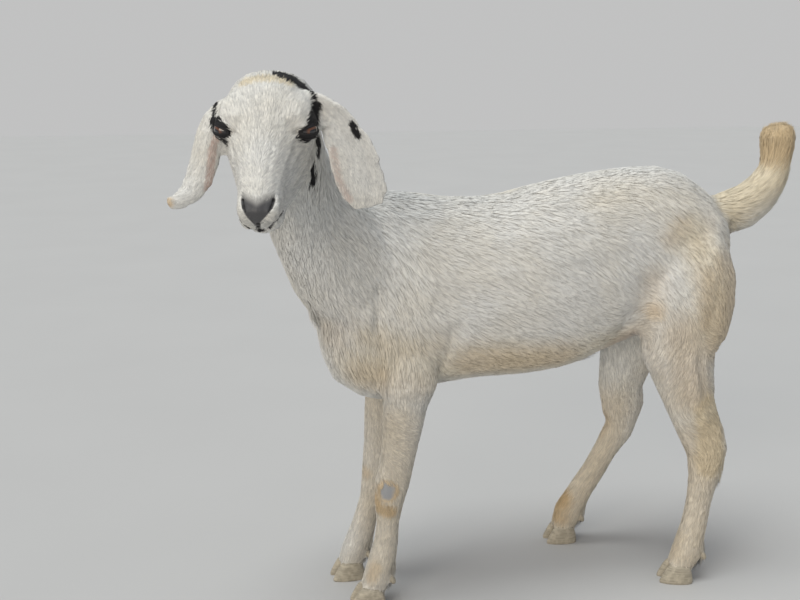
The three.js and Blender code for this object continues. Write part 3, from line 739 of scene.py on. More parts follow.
def eye_axes(side):
    """The eye's own directions: along the opening, up toward the brow, and outward."""
    gaze = unit(np.array(EYE_LOOK) * np.array([1, side, 1])) @ HEAD_AXES
    length = np.array(EYE_SLANT) @ HEAD_AXES
    length = unit(length - gaze * (length @ gaze))
    height = np.cross(gaze, length) * side
    return np.array([length, height, gaze])


def eye_centre(side):
    return EYE_LINE - EYE_DROP * OUT + HEAD_LEFT * side * EYE_SPACING


def eye_coordinates(goat, side):
    return (goat - eye_centre(side)) @ eye_axes(side).T


def lid_share(local):
    """1 on the edge of the opening between the lids, less inside it and more outside."""
    return np.sqrt((local[:, 0] / LID_LENGTH) ** 2 + ((local[:, 1] + LID_DROP) / LID_HEIGHT) ** 2)


def tuck_under_lids(goat):
    """Draws the skin in front of each eyeball behind it, and seats it round the lids."""
    for side in (1, -1):
        local = eye_coordinates(goat, side)
        reach = np.linalg.norm(local, axis=1)
        share = lid_share(local)
        near = (local[:, 2] > 0) & (reach < EYE_RADIUS * SOCKET_REACH)
        inner = near * fade(share, *OPEN)
        seat = near * fade(share, *SEATED) * (1 - inner)
        target = inner * (EYE_RADIUS - TUCK) + seat * (EYE_RADIUS + SEAT) + (1 - inner - seat) * reach
        under = (EYE_RADIUS + COVER) * fade(share, *COVERED)
        target = np.where(inner > 0, target, np.maximum(target, under))
        local *= (target / np.maximum(reach, 1e-6))[:, None]
        goat = np.where(near[:, None], local @ eye_axes(side) + eye_centre(side), goat)
    return goat


# ---------------------------------------------------------------------------
# Settings that a user may change
# ---------------------------------------------------------------------------


def colour_property(name, description, default):
    return bpy.props.FloatVectorProperty(
        name=name, description=description, subtype="COLOR", size=3, min=0, max=1, default=default
    )


def number_property(name, description, default, low, high, **options):
    return bpy.props.FloatProperty(
        name=name, description=description, default=default, min=low, max=high, **options
    )


class GoatColours(bpy.types.PropertyGroup):
    """Colours of the coat, the bare skin and the horn."""

    white: colour_property("White", "Main colour of the coat", (0.86, 0.86, 0.835))
    # Cream and tan on the belly, the chest and the legs are partly the hair's own colour and partly
    # painted warm light from the floor; on the thighs tan also paints the shade of their creases.
    cream: colour_property("Cream", "Warmer hair between the white", (0.82, 0.725, 0.545))
    tan: colour_property("Tan", "Stained hair of hocks, belly and tail", (0.64, 0.45, 0.23))
    # Black also paints the nostrils, painted shade in their openings, and the mouth's line and
    # groove, partly painted shade in their creases.
    black: colour_property("Black", "Patches round the eyes", (0.012, 0.011, 0.012))
    pink: colour_property("Pink", "Skin that shows through thin hair", (0.60, 0.40, 0.33))
    nose: colour_property("Nose", "Bare skin of the nose", (0.075, 0.074, 0.077))
    callus: colour_property("Callus", "Worn skin of the knee", (0.34, 0.345, 0.355))
    horn: colour_property("Horn", "Hooves", (0.44, 0.39, 0.30))
    iris: colour_property("Iris", "Iris of the eye", (0.17, 0.062, 0.026))


class GoatCoat(bpy.types.PropertyGroup):
    """Sizes of the coat."""

    fineness: number_property("Fineness", "Number of tufts, as a share of the usual", 1.0, 0.1, 1.2)
    length: number_property("Length", "Length of the hair, as a share of the usual", 1.0, 0.5, 1.5)
    skin_step: number_property(
        "Skin Step",
        "Spacing of the skin's vertices",
        0.0042,
        0.003,
        0.01,
        unit="LENGTH",
        subtype="DISTANCE",
    )


class GoatStage(bpy.types.PropertyGroup):
    """The floor and the light."""

    floor: colour_property("Floor", "Colour of the floor", (0.54, 0.535, 0.525))
    sky: number_property("Sky", "Strength of the light from all round", 0.38, 0.01, 10.0)
    key: number_property("Key", "Strength of the light from above", 1.85, 0.0, 10.0)
    front: number_property("Front", "Strength of the low light at the chest", 1.08, 0.0, 10.0)


# ---------------------------------------------------------------------------
# Materials
# ---------------------------------------------------------------------------


class Nodes:
    """Places and links the nodes of one tree."""

    COLOUR_SOCKETS = (0, 6, 7)  # factor and the two colours of a mix

    def __init__(self, tree):
        self.tree = tree

    def add(self, kind, values=None, **options):
        node = self.tree.nodes.new(kind)
        for name, value in options.items():
            setattr(node, name, value)
        for name, value in (values or {}).items():
            socket = node.inputs[name]
            if isinstance(value, bpy.types.NodeSocket):
                self.tree.links.new(value, socket)
            else:
                socket.default_value = value
        return node

    def mix(self, factor, first, second, blend="MIX"):
        node = self.tree.nodes.new("ShaderNodeMix")
        node.data_type = "RGBA"
        node.blend_type = blend
        for index, value in zip(self.COLOUR_SOCKETS, (factor, first, second)):
            if isinstance(value, bpy.types.NodeSocket):
                self.tree.links.new(value, node.inputs[index])
            else:
                node.inputs[index].default_value = value
        return node.outputs[2]

    def maths(self, operation, first, second=0.5, clamp=False):
        node = self.tree.nodes.new("ShaderNodeMath")
        node.operation = operation
        node.use_clamp = clamp
        for index, value in enumerate((first, second)):
            if isinstance(value, bpy.types.NodeSocket):
                self.tree.links.new(value, node.inputs[index])
            else:
                node.inputs[index].default_value = value
        return node.outputs[0]

    def spread(self, value, low, high, to_low=0.0, to_high=1.0):
        node = self.add(
            "ShaderNodeMapRange",
            {"Value": value, "From Min": low, "From Max": high, "To Min": to_low, "To Max": to_high},
        )
        return node.outputs["Result"]

    def noise(self, place, scale, detail=2.0, roughness=0.5):
        node = self.add(
            "ShaderNodeTexNoise",
            {"Vector": place, "Scale": scale, "Detail": detail, "Roughness": roughness},
        )
        return node.outputs["Fac"]

    def attribute(self, name):
        return self.add("ShaderNodeAttribute", attribute_name=name).outputs["Vector"]

    def parts(self, vector):
        return self.add("ShaderNodeSeparateXYZ", {"Vector": vector}).outputs


def rgba(colour):
    return (*colour, 1.0)


def new_group(name, inputs, outputs):
    group = bpy.data.node_groups.new(name, "ShaderNodeTree")
    for label, kind in inputs:
        group.interface.new_socket(name=label, in_out="INPUT", socket_type=kind)
    for label, kind in outputs:
        group.interface.new_socket(name=label, in_out="OUTPUT", socket_type=kind)
    nodes = Nodes(group)
    start = group.nodes.new("NodeGroupInput")
    end = group.nodes.new("NodeGroupOutput")
    return group, nodes, start, end


COAT_COLOURS = ("White", "Cream", "Tan", "Black", "Pink", "Nose", "Callus")


def coat_group():
    """Hair colour from the markings and the place on the body, with painted shade by the place on the
    hair.
    """
    found = bpy.data.node_groups.get("Coat Colour")
    if found:
        return found
    inputs = [(label, "NodeSocketVector") for label in ("Place", "Marks", "Bare", "Strand")]
    inputs += [(label, "NodeSocketColor") for label in COAT_COLOURS]
    group, nodes, start, end = new_group("Coat Colour", inputs, [("Color", "NodeSocketColor")])
    black, tan, yellow = nodes.parts(start.outputs["Marks"])
    pink, nose, callus = nodes.parts(start.outputs["Bare"])
    chance, reach, contrast = nodes.parts(start.outputs["Strand"])
    # Cream comes in faint blotches and a little more in some tufts than in others.
    blotches = nodes.spread(nodes.noise(start.outputs["Place"], 11.0, 3.0), 0.42, 0.68, 0.0, 0.25)
    warm = nodes.maths("ADD", blotches, nodes.maths("MULTIPLY", chance, 0.16))
    warm = nodes.maths("ADD", warm, yellow, clamp=True)
    hair = nodes.mix(warm, start.outputs["White"], start.outputs["Cream"])
    hair = nodes.mix(tan, hair, start.outputs["Tan"])
    hair = nodes.mix(pink, hair, start.outputs["Pink"])
    # Painted shade darkens each tuft toward its root, where other hair covers it, and some tufts are
    # darker as a whole at random.
    painted_root_shade = nodes.spread(reach, 0.0, 0.7, 0.26, 0.0)
    by_tuft = nodes.spread(chance, 0.15, 0.85, 0.30, -0.08)
    # The painted root shade and each tuft's own tone, scaled by the part's contrast.
    gap = nodes.maths("MULTIPLY", nodes.maths("ADD", painted_root_shade, by_tuft), contrast)
    shade = nodes.maths("SUBTRACT", 1.0, gap)
    grey = nodes.add("ShaderNodeCombineColor", {"Red": shade, "Green": shade, "Blue": shade})
    hair = nodes.mix(1.0, hair, grey.outputs[0], "MULTIPLY")
    hair = nodes.mix(callus, hair, start.outputs["Callus"])
    hair = nodes.mix(nose, hair, start.outputs["Nose"])
    hair = nodes.mix(black, hair, start.outputs["Black"])
    nodes.tree.links.new(hair, end.inputs["Color"])
    return group


def coat_colour(nodes, colours, strand=None):
    """The shared coat colour in a material."""
    node = nodes.add("ShaderNodeGroup", node_tree=coat_group())
    for label in COAT_COLOURS:
        node.inputs[label].default_value = rgba(getattr(colours, label.lower()))
    for label, name in (("Place", "place"), ("Marks", "marks"), ("Bare", "bare")):
        nodes.tree.links.new(nodes.attribute(name), node.inputs[label])
    if strand is None:
        nodes.tree.links.new(nodes.attribute("strand"), node.inputs["Strand"])
    else:
        node.inputs["Strand"].default_value = strand
    return node.outputs["Color"]


def new_material(name):
    material = bpy.data.materials.new(name)
    material.use_nodes = True
    shader = material.node_tree.nodes["Principled BSDF"]
    return material, Nodes(material.node_tree), shader


def set_shader(nodes, shader, **values):
    """Sets the shader's own sockets: a number stays on the socket, a node is linked."""
    for label, value in values.items():
        socket = shader.inputs[label.replace("_", " ")]
        if isinstance(value, bpy.types.NodeSocket):
            nodes.tree.links.new(value, socket)
        else:
            socket.default_value = value


def hair_material(colours):
    material, nodes, shader = new_material("coat hair")
    set_shader(
        nodes,
        shader,
        Base_Color=coat_colour(nodes, colours),
        Roughness=0.62,
        Specular_IOR_Level=0.25,
        Sheen_Weight=0.12,
    )
    return material


# The skin is coloured as hair near its roots, so it takes painted shade of the coat over it.
UNDER_HAIR = (0.5, 0.4, 0.7)  # the skin's tone, place along a hair, and contrast


def skin_material(colours):
    material, nodes, shader = new_material("skin")
    place = nodes.attribute("place")
    _, nose, _ = nodes.parts(nodes.attribute("bare"))
    colour = coat_colour(nodes, colours, strand=UNDER_HAIR)
    cells = nodes.add("ShaderNodeTexVoronoi", {"Vector": place, "Scale": 620.0}, feature="SMOOTH_F1")
    # The nose is pebbled; elsewhere the skin is finely grained.
    fine = nodes.noise(place, 900.0, 3.0)
    bumps = nodes.mix(nose, fine, cells.outputs["Distance"])
    bump = nodes.add("ShaderNodeBump", {"Height": bumps, "Strength": 0.5, "Distance": 0.0006})
    rough = nodes.spread(nose, 0.0, 1.0, 0.75, 0.42)
    set_shader(
        nodes,
        shader,
        Base_Color=colour,
        Roughness=rough,
        Normal=bump.outputs["Normal"],
        Specular_IOR_Level=0.35,
    )
    return material


# The slot of the pupil, in millimetres: half its length, half its height, and how high it lies.
PUPIL_LENGTH, PUPIL_HEIGHT, PUPIL_RAISE = 5.6, 2.2, 0.5
IRIS_EDGE = (6.4, 8.6)  # the iris darkens to its rim between these radii
IRIS_RIM = (0.012, 0.008, 0.007)
PUPIL_COLOUR = (0.004, 0.004, 0.006)


def eye_material(colours):
    material, nodes, shader = new_material("eye")
    length, height, _ = nodes.parts(nodes.attribute("gaze"))
    squares = nodes.maths("ADD", nodes.maths("POWER", length, 2), nodes.maths("POWER", height, 2))
    ring = nodes.maths("SQRT", squares)
    around = nodes.maths("MULTIPLY", nodes.maths("ARCTAN2", height, length), 9.0)
    inward = nodes.maths("MULTIPLY", ring, 0.35)
    spokes = nodes.add("ShaderNodeCombineXYZ", {"X": around, "Y": inward}).outputs[0]
    fibres = nodes.spread(nodes.noise(spokes, 1.6, 4.0, 0.65), 0.3, 0.7)
    iris = nodes.mix(fibres, rgba([c * 0.45 for c in colours.iris]), rgba(colours.iris))
    iris = nodes.mix(nodes.spread(ring, *IRIS_EDGE), iris, rgba(IRIS_RIM))
    raised = nodes.maths("SUBTRACT", height, PUPIL_RAISE)
    slot = [
        nodes.maths("POWER", nodes.maths("ABSOLUTE", nodes.maths("DIVIDE", far, half)), 3.0)
        for far, half in ((length, PUPIL_LENGTH), (raised, PUPIL_HEIGHT))
    ]
    pupil = nodes.spread(nodes.maths("ADD", *slot), 0.85, 1.15, 1.0, 0.0)
    colour = nodes.mix(pupil, iris, rgba(PUPIL_COLOUR))
    set_shader(nodes, shader, Base_Color=colour, Roughness=0.12, Coat_Weight=1.0, Coat_Roughness=0.02)
    return material


def horn_material(colours):
    material, nodes, shader = new_material("horn")
    place = nodes.add("ShaderNodeTexCoord").outputs["Object"]
    # Rings of growth lie level and a fine grain runs upright.
    level = nodes.add("ShaderNodeMapping", {"Vector": place, "Scale": (60.0, 60.0, 900.0)})
    rings = nodes.noise(level.outputs[0], 1.0, 3.0)
    upright = nodes.add("ShaderNodeMapping", {"Vector": place, "Scale": (700.0, 700.0, 60.0)})
    grain = nodes.noise(upright.outputs[0], 1.0, 2.0)
    dark = rgba([c * 0.7 for c in colours.horn])
    pale = rgba([min(1, c * 1.35) for c in colours.horn])
    colour = nodes.mix(nodes.spread(rings, 0.35, 0.65), dark, rgba(colours.horn))
    dust = nodes.spread(nodes.noise(place, 160.0, 3.0), 0.45, 0.7, 0.0, 0.6)
    colour = nodes.mix(dust, colour, pale)
    height = nodes.maths("ADD", rings, nodes.maths("MULTIPLY", grain, 0.4))
    bump = nodes.add("ShaderNodeBump", {"Height": height, "Strength": 0.4, "Distance": 0.0006})
    rough = nodes.spread(grain, 0.0, 1.0, 0.45, 0.7)
    set_shader(nodes, shader, Base_Color=colour, Roughness=rough, Normal=bump.outputs["Normal"])
    return material


# ---------------------------------------------------------------------------
# Making the pieces
# ---------------------------------------------------------------------------

# Rounds of smoothing: of the whole, then after the head and the face are refined.
WHOLE_ROUNDS, HEAD_ROUNDS, FACE_ROUNDS = 14, 4, 2
RELAX = 0.52  # how far a vertex moves to the mean of its neighbours in each round
SWELL = 1.04  # how much further it moves back, so that nothing shrinks
DEPTH_SHARE, DEPTH_ROUNDS = 0.7, 6  # the same for the depth of the coat
WELD = 1e-6
HUG = 0.95  # share of the gap that is closed between the smoothed skin and the solids
HOOF_DEPTH = 2.6  # depth of the skin where it fills the hooves
LONG_DEPTH = 0.18  # added depth for each millimetre of longer hair
FILLET_GAP = 4.4 * MM  # skin that bridges a hollow by more than this keeps its fillet
RIM_REACH = 4.5 * MM  # how far the skin is drawn out to a thin rim
RIM_FACING = 0.3  # and how much the rim has to face the same way
OVERLAP = 0.4 * MM  # parts are swollen this much so that they run into one another
FAR = 900
HEAD_BOX = ((-70, -62, -80), (FAR, 62, 40))  # along, across and out
MUZZLE_BOX = ((78, -34, -48), (FAR, 34, FAR))
EAR_REACH = 34  # from the middle line of an ear
EYE_REACH = 25


def flesh_mesh():
    """All parts of the body, and what fills the sockets of eyes and hooves, in one mesh."""
    whole = bmesh.new()
    for name in (*FLESH, *HORNS, "eye_left", "eye_right"):
        part = bmesh.new()
        part.from_mesh(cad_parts[name].data)
        bmesh.ops.remove_doubles(part, verts=part.verts, dist=WELD)
        part.normal_update()
        swell = OVERLAP if name in FLESH else -OVERLAP * 2
        for vertex, normal in [(v, v.normal.copy()) for v in part.verts]:
            vertex.co += normal * swell
        piece = bpy.data.meshes.new("part")
        part.to_mesh(piece)
        part.free()
        whole.from_mesh(piece)
        bpy.data.meshes.remove(piece)
    mesh = bpy.data.meshes.new("skin")
    whole.to_mesh(mesh)
    whole.free()
    return mesh


def body_tree():
    """The solid body as one search tree, with the number of the part of each face."""
    corners, faces, owner = [], [], []
    for number, name in enumerate(PARTS):
        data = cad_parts[name].data
        base = len(corners)
        corners.extend(v.co.copy() for v in data.vertices)
        for face in data.polygons:
            faces.append([base + i for i in face.vertices])
            owner.append(number)
    return BVHTree.FromPolygons(corners, faces), owner


def by_part(field, otherwise):
    """One value of the coat for each part of the body, by its number."""
    return np.array([COAT[n][field] if n in COAT else otherwise for n in PARTS])


def nearest_parts(points, tree, owner):
    """For each point, the number of the part of the body that it lies nearest to."""
    return np.array([owner[tree.find_nearest(Vector(p))[2]] for p in points])


def hug(mesh, tree):
    """Draws the eased skin back to the outline, but leaves the fillets in its hollows."""
    points, normals = mesh_arrays(mesh)
    moved = points.copy()
    for index, (point, normal) in enumerate(zip(points, normals)):
        place, way, _, gap = tree.ray_cast(Vector(point - normal * MM), Vector(normal), RIM_REACH)
        if place is None or way.dot(Vector(normal)) < RIM_FACING:
            place, _, _, gap = tree.find_nearest(Vector(point))
            share = HUG * float(fade(gap, FILLET_GAP, FILLET_GAP / 2))
        else:
            share = HUG
        moved[index] += share * (np.array(place) - point)
    put_points(mesh, moved)


def refine(mesh, chosen):
    """Halves the faces whose middle is chosen."""
    detail = bmesh.new()
    detail.from_mesh(mesh)
    middles = np.array([f.calc_center_median() for f in detail.faces])
    picked = chosen(to_goat(middles))
    edges = {e for f, pick in zip(detail.faces, picked) if pick for e in f.edges}
    bmesh.ops.subdivide_edges(detail, edges=list(edges), cuts=1, use_grid_fill=True, smooth=0.0)
    detail.to_mesh(mesh)
    detail.free()


def within(head, low, high):
    return np.all((head > low) & (head < high), axis=1)


def on_head(goat):
    """The head and the ears, which get a finer skin."""
    inside = within(to_head(goat), *HEAD_BOX)
    for line in EAR_LINES:
        inside |= line_distance(goat, line) < EAR_REACH
    return inside


def on_face_detail(goat):
    """The muzzle and round the eyes, which get the finest skin."""
    inside = within(to_head(goat), *MUZZLE_BOX)
    for side in (1, -1):
        inside |= np.linalg.norm(eye_coordinates(goat, side), axis=1) < EYE_REACH
    return inside


def unwrap(made):
    """Unwraps the skin's own shape into the map the coat shares."""
    made.data.uv_layers.new(name="OFBake")
    bpy.context.view_layer.objects.active = made
    made.select_set(True)
    bpy.ops.object.mode_set(mode="EDIT")
    bpy.ops.mesh.select_all(action="SELECT")
    bpy.ops.uv.smart_project(angle_limit=math.radians(66), island_margin=0.002)
    bpy.ops.object.mode_set(mode="OBJECT")
    made.select_set(False)


class GOAT_OT_skin(bpy.types.Operator):
    """Join the flesh of the goat under one skin with its folds and markings"""

    bl_idname = "goat.skin"
    bl_label = "Skin"

    def execute(self, context):
        made = add_object("skin", flesh_mesh())
        remesh = made.modifiers.new("Whole", "REMESH")
        remesh.mode = "VOXEL"
        remesh.voxel_size = context.scene.goat_coat.skin_step
        mesh = apply_modifiers(made)
        tree, owner = body_tree()
        ease(mesh, WHOLE_ROUNDS)
        refine(mesh, on_head)
        hug(mesh, tree)
        ease(mesh, HEAD_ROUNDS)
        refine(mesh, on_face_detail)
        ease(mesh, FACE_ROUNDS)
        points, normals = mesh_arrays(mesh)
        parts = nearest_parts(points, tree, owner)
        goat = to_goat(points)
        depths = by_part("depth", HOOF_DEPTH)[parts] + coverage(goat, LONG) * LONG_DEPTH
        store(mesh, "part", parts.astype(np.float32))
        store(mesh, "depth", depths)
        ease_depths(mesh)
        depths = stored(mesh, "depth")
        goat = tuck_under_lids(goat + normals * (relief(goat) - depths)[:, None])
        put_points(mesh, from_goat(goat))
        mark(mesh, goat)
        mesh.shade_smooth()
        unwrap(made)
        made.data.materials.append(skin_material(context.scene.goat_colours))
        finish_piece(made, FLESH)
        return {"FINISHED"}


def ease_depths(mesh):
    """Lets the depth of the coat run smoothly from one part of the body to the next."""
    depths = stored(mesh, "depth")
    near = Neighbours(mesh)
    for _ in range(DEPTH_ROUNDS):
        depths = (1 - DEPTH_SHARE) * depths + DEPTH_SHARE * near.mean(depths)
    store(mesh, "depth", depths)


def markings(goat):
    """How black, tan and yellow the hair is at each point."""
    return np.stack([coverage(goat, strokes) for strokes in (BLACK, TAN, YELLOW)], axis=1)


def mark(mesh, goat):
    """Stores the markings and the place on the body at each vertex."""
    store(mesh, "place", from_goat(goat))
    marks = markings(goat)
    # The slits are painted black: painted shade in the nostrils, and partly in the creases of the
    # mouth.
    marks[:, 0] = np.maximum(marks[:, 0], coverage(goat, SLITS))
    store(mesh, "marks", marks)
    bare = (coverage(goat, PINK), nose_pad(goat)[0], coverage(goat, BARE))
    store(mesh, "bare", np.stack(bare, axis=1))


# Cross-section of a lid from inside the eyeball, over its edge and out under the skin:
# share of the opening, then height over the eyeball.
LID_SECTION = (
    (0.93, -1.2),
    (0.96, 0.1),
    (1.0, 0.6),
    (1.1, 1.2),
    (1.3, 1.5),
    (1.7, 1.2),
    (2.2, 0.2),
    (2.0, -1.6),
    (1.2, -2.0),
)
LID_STEPS = 56
BROW_RISE = 0.9  # the upper lid lies this much higher over the eyeball
LID_WRAP = 0.96  # share of the eyeball's width that the lids may reach round
CORNEA_RISE, CORNEA_EDGE = 1.1, (9.0, 5.0)
BARED = (1.75, 0.4)  # where the bared part of the eyeball ends, as a share of the opening
HIDDEN_SHRINK = 0.22  # the eyeball is smaller where lids and socket cover it


class GOAT_OT_eyes(bpy.types.Operator):
    """Set the eyeballs with their slot pupils, and the rims of the lids"""

    bl_idname = "goat.eyes"
    bl_label = "Eyes"

    def execute(self, context):
        colours = context.scene.goat_colours
        glossy = eye_material(colours)
        lid_skin = skin_material(colours)
        for side, word in ((1, "left"), (-1, "right")):
            self.eyeball(side, word, glossy)
            self.lids(side, word, lid_skin)
        return {"FINISHED"}

    def eyeball(self, side, word, material):
        ball = bmesh.new()
        bmesh.ops.create_uvsphere(ball, u_segments=48, v_segments=32, radius=1.0)
        mesh = bpy.data.meshes.new(f"eyeball_{word}")
        ball.to_mesh(mesh)
        ball.free()
        local, _ = mesh_arrays(mesh)
        ring = np.hypot(local[:, 0], local[:, 1]) * EYE_RADIUS
        local *= EYE_RADIUS - 0.1
        hidden = (1 - fade(lid_share(local), *BARED)) * (local[:, 2] > -4)
        local *= (1 - HIDDEN_SHRINK * hidden)[:, None]
        local[:, 2] += (local[:, 2] > 0) * CORNEA_RISE * fade(ring, *CORNEA_EDGE)
        store(mesh, "gaze", local)
        put_points(mesh, from_goat(local @ eye_axes(side) + eye_centre(side)))
        made = self.closed(mesh, f"eyeball_{word}", material)
        finish_piece(made, (f"eye_{word}",))

    def lids(self, side, word, material):
        ring = bmesh.new()
        bmesh.ops.create_grid(ring, x_segments=LID_STEPS, y_segments=len(LID_SECTION), size=0.5)
        section = np.array(LID_SECTION + LID_SECTION[:1])
        centre, axes = eye_centre(side), eye_axes(side)
        for vertex in ring.verts:
            turn = (vertex.co.x + 0.5) * 2 * math.pi
            step = (vertex.co.y + 0.5) * len(LID_SECTION)
            share, height = (np.interp(step, range(len(section)), column) for column in section.T)
            across = math.cos(turn) * LID_LENGTH * share
            up = math.sin(turn) * LID_HEIGHT * share - LID_DROP
            height += BROW_RISE * max(math.sin(turn), 0)
            radius = EYE_RADIUS + height
            widest = radius * LID_WRAP
            flat = math.hypot(across, up)
            if flat > widest:
                across, up = across * widest / flat, up * widest / flat
                flat = widest
            deep = math.sqrt(radius**2 - flat**2)
            vertex.co = from_goat(np.array([across, up, deep]) @ axes + centre)
        bmesh.ops.remove_doubles(ring, verts=ring.verts, dist=0.02 * MM)
        mesh = bpy.data.meshes.new(f"eyelids_{word}")
        ring.to_mesh(mesh)
        ring.free()
        points, _ = mesh_arrays(mesh)
        mark(mesh, to_goat(points))
        marks = stored(mesh, "marks", 3)
        marks[:, 0] = 1.0
        store(mesh, "marks", marks)
        made = self.closed(mesh, f"eyelids_{word}", material)
        smooth = made.modifiers.new("Round", "SUBSURF")
        smooth.levels = smooth.render_levels = 1
        finish_piece(made)

    @staticmethod
    def closed(mesh, name, material):
        shell = bmesh.new()
        shell.from_mesh(mesh)
        bmesh.ops.recalc_face_normals(shell, faces=shell.faces)
        shell.to_mesh(mesh)
        shell.free()
        mesh.shade_smooth()
        mesh.materials.append(material)
        return add_object(name, mesh)


SOLE_CREASE = 0.8  # keeps the edge of a flat sole from rounding off


class GOAT_OT_hooves(bpy.types.Operator):
    """Round the claws and dewclaws and give them their horn"""

    bl_idname = "goat.hooves"
    bl_label = "Hooves"

    def execute(self, context):
        horn = horn_material(context.scene.goat_colours)
        for foot in FEET:
            names = [n for n in HORNS if n.startswith(foot)]
            whole = bmesh.new()
            for name in names:
                whole.from_mesh(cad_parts[name].data)
            bmesh.ops.remove_doubles(whole, verts=whole.verts, dist=WELD)
            crease = whole.edges.layers.float.new("crease_edge")
            for edge in whole.edges:
                low = max(v.co.z for v in edge.verts) < 0.1 * MM
                if low and any(max(v.co.z for v in f.verts) > MM for f in edge.link_faces):
                    edge[crease] = SOLE_CREASE
            mesh = bpy.data.meshes.new(f"{foot}_hoof")
            whole.to_mesh(mesh)
            whole.free()
            mesh.shade_smooth()
            mesh.materials.append(horn)
            made = add_object(f"{foot}_hoof", mesh)
            smooth = made.modifiers.new("Round", "SUBSURF")
            smooth.levels = smooth.render_levels = 2
            finish_piece(made, names)
        return {"FINISHED"}


ANYWHERE = (-FAR, FAR)
# The coat is grown in these pieces: the parts of the body, the side of it or 0 for both,
# and the stretch of its length.
COAT_PIECES = (
    ("coat_shoulder_left", ("trunk",), -1, (-FAR, 185)),
    ("coat_shoulder_right", ("trunk",), 1, (-FAR, 185)),
    ("coat_flank_left", ("trunk",), -1, (185, FAR)),
    ("coat_flank_right", ("trunk",), 1, (185, FAR)),
    ("coat_neck", ("neck",), 0, ANYWHERE),
    ("coat_head", ("head",), 0, ANYWHERE),
    ("coat_ears", ("ear_left", "ear_right"), 0, ANYWHERE),
    ("coat_tail", ("tail",), 0, ANYWHERE),
    ("coat_fore_legs", ("fore_leg_left", "fore_leg_right"), 0, ANYWHERE),
    ("coat_hind_leg_left", ("hind_leg_left",), 0, ANYWHERE),
    ("coat_hind_leg_right", ("hind_leg_right",), 0, ANYWHERE),
)
MOST_TUFTS = 32500  # in one piece, at six triangles each
LOCK = 6  # tufts that lean together
PER_SQUARE_METRE = 1e4  # tufts are counted to the square centimetre
BELLY = 0.42  # a tuft is widest at this share of its length
STRAY = 0.06  # how far single tufts turn out of the lie
LENGTHS, WIDTHS = (0.75, 1.2), (0.75, 1.3)  # shares of the usual size
# Shares of the depth of the coat at which the middles and the tips lie.
MIDDLE_RISE, TIP_RISE = (0.15, 0.75), (0.2, 1.0)
LIFTS, MIDDLE_LIFT = (0.4, 1.2), 0.35  # how far tufts stand off, and the middle's share of it
MIDDLE_PULL, TIP_PULL = 0.15, 0.4  # how far a tuft leans to the leader of its lock
ROOT_DEPTH = 0.35  # millimetres under the skin
THICKNESS = 0.7  # share of half the width
LEAN = 0.5  # how far the sides of a tuft face outward
LOCK_TONE = 0.4  # share of its tone that a tuft has from its lock
FUZZ = 0.7  # millimetres by which the markings' edges wander
THIN, NOSE_TONE = 0.6, 0.9  # how much pink and nose colour hair takes from the skin
STANDING_SOFTENS = 0.7  # hair that stands away loses this share of its contrast
WANDER = 0.05  # how far the lie swings to and fro
# A tuft is six triangles over its root, the two sides and the crest of its middle, and its
# tip. These lie so far along the hair, and so on its patch of the shared map.
TUFT_FACES = np.array([(0, 1, 2), (0, 3, 1), (0, 2, 3), (4, 2, 1), (4, 1, 3), (4, 3, 2)])
TUFT_STATIONS = (0, 0.5, 0.5, 0.5, 1.0)
PATCH = 0.003
TUFT_PATCH = np.array([(0, -0.5), (0.5, 0), (-0.5, 0), (0, 0.1), (0, 0.5)]) * PATCH
# Shares of length and width that hair loses toward the muzzle, by the lips and down the feet.
MUZZLE_LOSS, LIP_LOSS, FOOT_LOSS = (0.4, 0.1), (0.72, 0.0), (0.25, 0.1)


class Surface:
    """The skin as arrays, to grow tufts from."""

    def __init__(self, made):
        mesh = made.data
        self.points, self.normals = mesh_arrays(mesh)
        mesh.calc_loop_triangles()
        count = len(mesh.loop_triangles)
        self.corners = np.empty(count * 3, np.int32)
        mesh.loop_triangles.foreach_get("vertices", self.corners)
        self.corners = self.corners.reshape(-1, 3)
        loops = np.empty(count * 3, np.int32)
        mesh.loop_triangles.foreach_get("loops", loops)
        maps = np.empty(len(mesh.loops) * 2, np.float32)
        mesh.uv_layers["OFBake"].data.foreach_get("uv", maps)
        self.maps = maps.reshape(-1, 2)[loops].reshape(-1, 3, 2)
        a, b, c = (self.points[self.corners[:, i]] for i in range(3))
        self.areas = np.linalg.norm(np.cross(b - a, c - a), axis=1) / 2
        self.part = stored(mesh, "part").astype(int)[self.corners].max(axis=1)
        self.depth = stored(mesh, "depth")
        goat = to_goat(self.points)
        self.lie = lie_of_coat(goat, self.normals)
        self.long = coverage(goat, LONG)
        self.tree = BVHTree.FromPolygons(self.points.tolist(), self.corners.tolist())

    def between(self, values, faces, weights):
        return np.einsum("ij,ij...->i...", weights, values[self.corners[faces]])

    def settle(self, points):
        """The nearest places on the skin, with the way out of it there."""
        found = [self.tree.find_nearest(Vector(p)) for p in points]
        return np.array([f[0] for f in found]), np.array([f[1] for f in found])


def bald(goat):
    """Where no tufts grow: the nose, the lips' edges, the callus and the eyes."""
    none = nose_pad(goat)[1]
    none |= coverage(goat, BARE) > 0.5
    none |= coverage(goat, SLITS) > 0.5
    for side in (1, -1):
        local = eye_coordinates(goat, side)
        near = (local[:, 2] > 0) & (np.linalg.norm(local, axis=1) < HAIRLESS_REACH)
        none |= near & (lid_share(local) < HAIRLESS_SHARE)
    return none


def leaders(root, draw):
    """Gathers the tufts into locks: for each tuft, the number of the one it leans toward."""
    heads = draw.choice(len(root), max(1, len(root) // LOCK), replace=False)
    tree = KDTree(len(heads))
    for number, head in enumerate(heads):
        tree.insert(root[head], number)
    tree.balance()
    return heads[[tree.find(place)[1] for place in root]]


